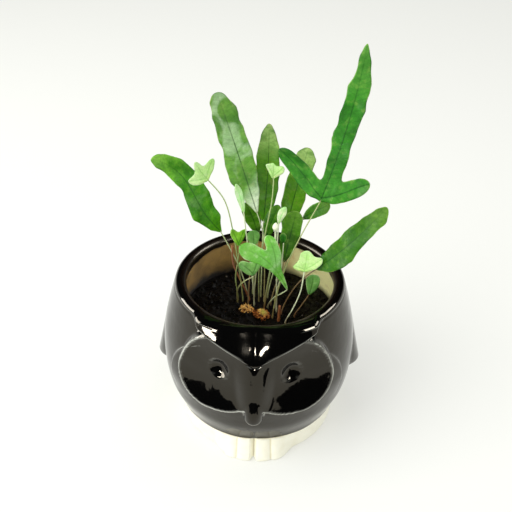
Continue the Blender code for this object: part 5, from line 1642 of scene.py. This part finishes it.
def leaf_blade(name, settings):
    """Living leaf blade of a strap fern: leathery and satin, with a waxy bloom.

    Its colour changes from base to tip in soft mottles, the midrib is a dark groove with faint side veins,
    the rim is now dark and now pale, patches of waxy bloom with painted sheen whiten the blade, and the
    underside is paler.
    """
    base, middle, tip, mottle, rib, rim, bloom_and_sheen = [linear(code, 1.0) for code in LEAF_COLOURS[name]]
    wax_and_sheen, _, _ = LEAF_HABITS[name]
    marks = ("rib", "vein", "margin", "along", "under")
    material, tree, shader, where, read = new_material(name + "_leaf_blade", *marks)
    # Clouds about 9 mm across, patches of 15 mm, blotches of 3 mm, and cells under 1 mm drawn coarser
    # than life
    cloud = {"Vector": where, "Scale": 110.0, "Detail": 3.0, "Distortion": 0.6}
    cloud = add_node(tree, "TexNoise", cloud)
    patch = {"Vector": where, "Scale": 68.0, "Detail": 4.0, "Distortion": 0.8}
    patch = add_node(tree, "TexNoise", patch)
    blotch = add_node(tree, "TexNoise", {"Vector": where, "Scale": 340.0, "Detail": 3.0})
    cells = add_node(tree, "TexNoise", {"Vector": where, "Scale": 1250.0, "Detail": 2.0})
    # Side veins leave the midrib slantwise, at the spacing of the settings
    turns = 2.0 * math.pi / (settings.vein_spacing / MM)
    turns = add_node(tree, "Math", {0: read["vein"], 1: turns}, operation="MULTIPLY")
    wobble = add_node(tree, "Math", {0: cloud, 1: 5.0}, operation="MULTIPLY")
    turns = add_node(tree, "Math", {0: turns, 1: wobble}, operation="ADD")
    vein = add_node(tree, "Math", {0: turns}, operation="SINE")
    vein = add_node(tree, "MapRange", {"Value": vein, "From Min": 0.86, "From Max": 1.0})
    # Rim, dark in one cloud and pale in the next
    dark = add_node(tree, "MapRange", {"Value": cloud, "From Min": 0.42, "From Max": 0.56})
    edging = add_node(tree, "Mix", {"Factor": dark, "A": rim, "B": rib}, data_type="RGBA")
    # Tints laid over the blade's colour: mottles, waxy bloom with painted sheen, side veins, the midrib's
    # groove, which fades out before the tip and is broken by light on its edges, the rim and the pale
    # underside.
    # The share of a tint is the product of its readings: a value, its two ends, and the share at each end.
    tints = (
        (mottle, (cloud, 0.44, 0.68, 0.0, 0.8)),
        (mottle, (blotch, 0.5, 0.74, 0.0, 0.5)),
        (rim, (blotch, 0.46, 0.28, 0.0, 0.3)),
        (
            bloom_and_sheen, (patch, 0.64 - 0.24 * wax_and_sheen, 0.76 - 0.22 * wax_and_sheen, 0.0, 0.25 + 0.7 * wax_and_sheen),
            (blotch, 0.3, 0.6, 1.0, 0.7),
        ),
        (rib, (vein, 0.0, 1.0, 0.0, 1.0), (cloud, 0.35, 0.6, 0.2, 0.04)),
        (
            rib, (read["rib"], 0.1, 0.44, 0.9, 0.0), (read["along"], 0.55, 0.98, 1.0, 0.15),
            (blotch, 0.3, 0.55, 0.5, 1.0),
        ),
        (edging, (read["margin"], 0.1, 0.45, 0.65, 0.0)),
        (bloom_and_sheen, (read["under"], 0.0, 1.0, 0.0, settings.underside)),
    )
    stops = ((0.08, base), (0.24, middle), (0.62, middle), (0.97, tip))
    colour = add_node(tree, "ValToRGB", {"Fac": read["along"]}, stops)
    for tint, *readings in tints:
        share = 1.0
        for value, low, high, at_low, at_high in readings:
            ends = {"From Min": low, "From Max": high, "To Min": at_low, "To Max": at_high}
            reading = add_node(tree, "MapRange", {"Value": value, **ends})
            share = add_node(tree, "Math", {0: share, 1: reading}, operation="MULTIPLY")
        colour = add_node(tree, "Mix", {"Factor": share, "A": colour, "B": tint}, data_type="RGBA")
    grain = {"Value": cells, "From Min": 0.3, "From Max": 0.7, "To Min": 0.9, "To Max": 1.1}
    colour = {"Factor": 1.0, "A": colour, "B": add_node(tree, "MapRange", grain)}
    colour = add_node(tree, "Mix", colour, data_type="RGBA", blend_type="MULTIPLY")
    rough = {"Value": patch, "From Min": 0.35, "From Max": 0.65, "To Min": 0.4, "To Max": 0.58}
    height = 0.0
    for texture, depth in ((vein, -0.6), (cells, 0.35), (blotch, 2.4)):
        swell = add_node(tree, "Math", {0: texture, 1: depth}, operation="MULTIPLY")
        height = add_node(tree, "Math", {0: height, 1: swell}, operation="ADD")
    relief = add_node(tree, "Bump", {"Height": height, "Strength": 0.5, "Distance": 0.00025})
    feed(tree, shader, {
        "Base Color": colour,
        "Roughness": add_node(tree, "MapRange", rough),
        "IOR": 1.45,
        "Specular IOR Level": 0.15 + 0.35 * wax_and_sheen,
        "Normal": relief,
    })
    through = add_node(tree, "BsdfTranslucent", {"Color": colour, "Normal": relief})
    blend = add_node(tree, "MixShader", {0: 0.22, 1: shader, 2: through})
    feed(tree, tree.nodes["Material Output"], {"Surface": blend})
    return material


def wiry_stalk(settings):
    """Wiry stalk of a fern: smooth and a little glossy, brown, tan, olive or pale lime by its shade.

    Each is browner at the foot, with soft blotches.
    """
    material, tree, shader, where, read = new_material("wiry_green_stalk", "along", "shade")
    # Blotches about 5 mm long
    patch = add_node(tree, "TexNoise", {"Vector": where, "Scale": 200.0, "Detail": 2.0})
    foot = opaque(settings.stalk_foot)
    tints = ((0.34, settings.stalk_tan), (0.58, settings.stalk), (1.0, settings.stalk_pale))
    stops = [(0.0, foot)] + [(position, opaque(tint)) for position, tint in tints]
    tint = add_node(tree, "ValToRGB", {"Fac": read["shade"]}, stops)
    share = add_node(tree, "Math", {0: read["along"], 1: patch}, operation="ADD")
    share = {"Value": share, "From Min": 0.4, "From Max": 0.95, "To Min": 0.25}
    colour = {"Factor": add_node(tree, "MapRange", share), "A": foot, "B": tint}
    feed(tree, shader, {
        "Base Color": add_node(tree, "Mix", colour, data_type="RGBA"),
        "Roughness": 0.42,
        "Specular IOR Level": 0.35,
    })
    return material


def withered_stalk(settings):
    """Dead stalk: dry, brittle and rusty, with darker blotches and a frayed grain."""
    material, tree, shader, where, _ = new_material("withered_fern_stalk")
    # Blotches about 2.5 mm long
    patch = add_node(tree, "TexNoise", {"Vector": where, "Scale": 420.0, "Detail": 4.0})
    dark = {"Value": patch, "From Min": 0.3, "From Max": 0.7, "To Min": 0.5, "To Max": 1.2}
    colour = {"Factor": 1.0, "A": opaque(settings.dead_stalk), "B": add_node(tree, "MapRange", dark)}
    feed(tree, shader, {
        "Base Color": add_node(tree, "Mix", colour, data_type="RGBA", blend_type="MULTIPLY"),
        "Roughness": 0.75,
        "Normal": add_node(tree, "Bump", {"Height": patch, "Strength": 0.6, "Distance": 0.0004}),
    })
    return material


def downy_bud(settings):
    """Unopened bud on its stalk: brown at the foot, then green, and pale with fine down at the tip."""
    material, tree, shader, _, read = new_material("downy_unopened_bud", "along")
    tints = ((0.0, settings.stalk_foot), (0.5, settings.stalk), (0.9, settings.bud_tip))
    stops = [(position, opaque(tint)) for position, tint in tints]
    colour = add_node(tree, "ValToRGB", {"Fac": read["along"]}, stops)
    feed(tree, shader, {"Base Color": colour, "Roughness": 0.6})
    return material


def make_fronds(settings):
    """Build every frond over its packed node."""
    materials = {name: leaf_blade(name, settings) for name in LEAF_COLOURS}
    materials["stalk"] = wiry_stalk(settings)
    for frond in FRONDS:
        make_frond(frond, settings, materials)


def make_bare_stalk(stalk, material, slot, name):
    """Build one leafless stalk, thinned or budded at its end."""
    route = stalk_route(stalk["foot"], stalk["points"], ())
    count = len(route)
    swell = stalk["end_radius"] - stalk["radius"]
    if swell > 0.0:
        radii = [stalk["radius"]] * count
        start = route[-1]
        for i in range(1, 9):
            route.append(start + Vector((0.0, 0.0, BUD_LENGTH * i / 8.0)))
            radii.append(max(0.12, stalk["end_radius"] * math.sin(math.pi * i / 8.0) ** 0.7))
    else:
        draw = random.Random(5)
        radii = [stalk["radius"] + swell * (i / count) ** 3 for i in range(count)]
        radii = [radius * draw.uniform(0.85, 1.12) for radius in radii]
    vertices, faces = tube(route, radii, STALK_SIDES)
    marks = {"along": np.repeat(np.linspace(0.0, 1.0, len(route)), STALK_SIDES)}
    piece = piece_from(name, vertices, faces, [material], marks=marks)
    place(piece, slot, stalk["name"])


def make_stalks(settings):
    """Build the dead stalks and the unopened bud."""
    dead = withered_stalk(settings)
    for stalk in BARE_STALKS:
        make_bare_stalk(stalk, dead, "dead_stalk", "withered_" + stalk["name"].replace("dead_", ""))
    make_bare_stalk(BUD_STALK, downy_bud(settings), "lime_leaf", "unopened_bud")


def aim(item, target):
    """Turn a light towards a point."""
    way = Vector(target) - item.location
    item.rotation_euler = way.to_track_quat("-Z", "Y").to_euler()


def round_the_pot(azimuth, elevation, distance):
    """Point at a distance in metres from the pot; azimuth 0 is in front of it and 90 to its right."""
    a = math.radians(azimuth)
    e = math.radians(elevation)
    flat = distance * math.cos(e)
    return Vector((flat * math.sin(a), -flat * math.cos(a), STAGE_MIDDLE + distance * math.sin(e)))


def add_softbox(name, azimuth, elevation, distance, size, power, mirrored, turn=0.0):
    """Hang a rectangular softbox that either shows in the glaze alone or lights everything unseen."""
    light = bpy.data.lights.new(name, "AREA")
    light.shape = "RECTANGLE"
    light.size, light.size_y = size
    light.energy = power
    item = bpy.data.objects.new(name, light)
    item.location = round_the_pot(azimuth, elevation, distance)
    aim(item, (0.0, 0.0, STAGE_MIDDLE))
    item.rotation_euler.rotate_axis("Z", math.radians(turn))
    item.visible_glossy = mirrored
    item.visible_diffuse = not mirrored
    item.visible_transmission = not mirrored
    bpy.context.scene.collection.objects.link(item)


def hang_flag(name, vertices, faces):
    """Hang a black cloth that shows only as a mirror image in the glaze."""
    mesh = bpy.data.meshes.new(name)
    mesh.from_pydata(vertices, [], faces)
    material, tree, shader, _, _ = new_material("black_velvet_flag")
    feed(tree, shader, {"Base Color": (0.0, 0.0, 0.0, 1.0), "Roughness": 1.0, "Specular IOR Level": 0.0})
    mesh.materials.append(material)
    flag = bpy.data.objects.new(name, mesh)
    flag.visible_camera = False
    flag.visible_diffuse = False
    flag.visible_shadow = False
    flag.visible_transmission = False
    bpy.context.scene.collection.objects.link(flag)


def hang_front_flag(distance, width, bottom, top, seed):
    """Hang the flag in front of the pot, with an uneven lower edge, and its wings and the lamp's flag."""
    draw = random.Random(seed)
    phases = [draw.uniform(0.0, 6.28) for _ in range(4)]
    steps = 60
    vertices = []
    for i in range(steps + 1):
        share = i / steps
        wave = sum(math.sin((3.1 + 3.7 * k) * share * 2.0 + phases[k]) / (k + 1.0) for k in range(4))
        x = (share - 0.5) * width
        low = max(0.001, bottom + 0.01 * wave + 0.018 * max(0.0, 1.0 - abs(x) / 0.09))
        for height in (low, top):
            vertices.append((x, -distance, height))
    faces = [(2 * i, 2 * i + 2, 2 * i + 3, 2 * i + 1) for i in range(steps)]
    for wing in FLAG_WINGS:
        start = len(vertices)
        vertices.extend((x, y, height) for x, y in wing for height in (0.001, 0.25))
        faces.append((start, start + 2, start + 3, start + 1))
    hang_flag("front_flag", vertices, faces)
    columns, away, heights = LAMP_FLAG
    corners = [(x, away, height) for x in columns for height in heights]
    hang_flag("lamp_flag", corners, [(0, 3, 4, 1), (1, 4, 5, 2), (4, 7, 8, 5)])


def hang_dark_ceiling(radius, low, high):
    """Hang the dark ceiling as a dome between two elevations in degrees."""
    turns = 48
    rows = 12
    vertices = []
    for i in range(rows + 1):
        elevation = low + (high - low) * i / rows
        for j in range(turns):
            vertices.append(round_the_pot(360.0 * j / turns, elevation, radius))
    hang_flag("dark_ceiling", vertices, ring_faces(rows, turns))


def lay_floor(stage):
    """Lay the pale floor, which gives some light by itself, just under the pot's base."""
    mesh = bpy.data.meshes.new("studio_floor")
    corners = [(x, y, FLOOR_HEIGHT) for x in (-FLOOR_HALF, FLOOR_HALF) for y in (-FLOOR_HALF, FLOOR_HALF)]
    mesh.from_pydata(corners, [], [(0, 2, 3, 1)])
    material, tree, shader, _, _ = new_material("backlit_white_acrylic_floor")
    feed(tree, shader, {
        "Base Color": opaque(stage.floor),
        "Roughness": 0.9,
        "Specular IOR Level": 0.0,
        "Emission Color": (1.0, 1.0, 0.985, 1.0),
        "Emission Strength": stage.floor_glow,
    })
    mesh.materials.append(material)
    floor = bpy.data.objects.new("studio_floor", mesh)
    bpy.context.scene.collection.objects.link(floor)


def set_camera(stage):
    """Set the camera at the photograph's place and angle."""
    camera = bpy.data.cameras.new("photo_camera")
    camera.sensor_width = 36.0
    camera.lens = stage.lens
    camera.clip_start = 0.01
    item = bpy.data.objects.new("photo_camera", camera)
    turn = Matrix.Rotation(CAMERA_AZIMUTH, 3, "Z")
    back = turn @ Vector((0.0, -math.cos(CAMERA_ELEVATION), math.sin(CAMERA_ELEVATION)))
    level = turn @ Vector((1.0, 0.0, 0.0))
    upward = turn @ Vector((0.0, math.sin(CAMERA_ELEVATION), math.cos(CAMERA_ELEVATION)))
    right = level * math.cos(CAMERA_ROLL) + upward * math.sin(CAMERA_ROLL)
    top = upward * math.cos(CAMERA_ROLL) - level * math.sin(CAMERA_ROLL)
    angle = Matrix((right, top, back)).transposed().to_4x4()
    item.matrix_world = Matrix.Translation(Vector(CAMERA_PLACE) * MM) @ angle
    bpy.context.scene.collection.objects.link(item)
    bpy.context.scene.camera = item


def make_stage(stage):
    """Set the pale floor, the soft studio light and the camera at the photograph's angle."""
    scene = bpy.context.scene
    scene.view_settings.view_transform = "Standard"
    lay_floor(stage)
    world = bpy.data.worlds.new("pale_studio")
    world.use_nodes = True
    tree = world.node_tree
    feed(tree, tree.nodes["Background"], {"Color": opaque(stage.wall), "Strength": stage.ambient})
    scene.world = world
    add_softbox("overhead_light", 0.0, 86.0, 1.3, (1.3, 1.3), stage.overhead, mirrored=False)
    add_softbox("key_light", -62.0, 40.0, 1.2, (1.0, 1.0), stage.key, mirrored=False)
    for name, azimuth, elevation, distance, size, power, turn in MIRRORED_LIGHTS:
        add_softbox(name, azimuth, elevation, distance, size, power * stage.windows, True, turn)
    hang_front_flag(distance=0.212, width=0.6, bottom=0.006, top=0.6, seed=5)
    hang_dark_ceiling(radius=1.2, low=8.0, high=90.0)
    set_camera(stage)


class FERN_OT_make_stage(bpy.types.Operator):
    """Set the floor, the studio light and the camera"""

    bl_idname = "fern.make_stage"
    bl_label = "Stage"

    def execute(self, context):
        make_stage(context.scene.fern_stage)
        return {"FINISHED"}


class FERN_OT_make_pot(bpy.types.Operator):
    """Build the glazed owl pot"""

    bl_idname = "fern.make_pot"
    bl_label = "Owl pot"

    def execute(self, context):
        make_pot(context.scene.fern_pot)
        return {"FINISHED"}


class FERN_OT_make_soil(bpy.types.Operator):
    """Build the potting soil with its crumbs and grit"""

    bl_idname = "fern.make_soil"
    bl_label = "Soil"

    def execute(self, context):
        make_soil(context.scene.fern_soil)
        make_crumbs(context.scene.fern_soil)
        return {"FINISHED"}


class FERN_OT_make_rhizome(bpy.types.Operator):
    """Build the creeping rhizome with its scales"""

    bl_idname = "fern.make_rhizome"
    bl_label = "Rhizome"

    def execute(self, context):
        make_rhizome(context.scene.fern_rhizome)
        make_scales(context.scene.fern_rhizome)
        return {"FINISHED"}


class FERN_OT_make_fronds(bpy.types.Operator):
    """Build the fronds, each with its stalk"""

    bl_idname = "fern.make_fronds"
    bl_label = "Fronds"

    def execute(self, context):
        make_fronds(context.scene.fern_fronds)
        return {"FINISHED"}


class FERN_OT_make_stalks(bpy.types.Operator):
    """Build the dead stalks and the unopened bud"""

    bl_idname = "fern.make_stalks"
    bl_label = "Leafless stalks"

    def execute(self, context):
        make_stalks(context.scene.fern_fronds)
        return {"FINISHED"}


OPERATORS = (
    FERN_OT_make_stage,
    FERN_OT_make_pot,
    FERN_OT_make_soil,
    FERN_OT_make_rhizome,
    FERN_OT_make_fronds,
    FERN_OT_make_stalks,
)
SETTINGS = {
    "fern_stage": StageSettings,
    "fern_pot": PotSettings,
    "fern_soil": SoilSettings,
    "fern_rhizome": RhizomeSettings,
    "fern_fronds": FrondSettings,
}


class FERN_PT_sidebar(bpy.types.Panel):
    """List the pieces with their settings"""

    bl_idname = "FERN_PT_sidebar"
    bl_label = "Potted blue star fern"
    bl_space_type = "VIEW_3D"
    bl_region_type = "UI"
    bl_category = "Fern"

    def draw(self, context):
        for operator in OPERATORS:
            self.layout.operator(operator.bl_idname)
        for name, group in SETTINGS.items():
            box = self.layout.box()
            box.label(text=group.__doc__)
            for setting in group.__annotations__:
                box.prop(getattr(context.scene, name), setting)


def register():
    """Register the settings, the operators and the panel."""
    for name, group in SETTINGS.items():
        bpy.utils.register_class(group)
        setattr(bpy.types.Scene, name, bpy.props.PointerProperty(type=group))
    for operator in OPERATORS:
        bpy.utils.register_class(operator)
    bpy.utils.register_class(FERN_PT_sidebar)


def unregister():
    """Take the panel, the operators and the settings away again."""
    bpy.utils.unregister_class(FERN_PT_sidebar)
    for operator in reversed(OPERATORS):
        bpy.utils.unregister_class(operator)
    for name, group in SETTINGS.items():
        delattr(bpy.types.Scene, name)
        bpy.utils.unregister_class(group)


def main():
    """Register the add-on and make every piece in order."""
    register()
    bpy.ops.fern.make_stage()
    bpy.ops.fern.make_pot()
    bpy.ops.fern.make_soil()
    bpy.ops.fern.make_rhizome()
    bpy.ops.fern.make_fronds()
    bpy.ops.fern.make_stalks()


if __name__ == "__main__":
    main()
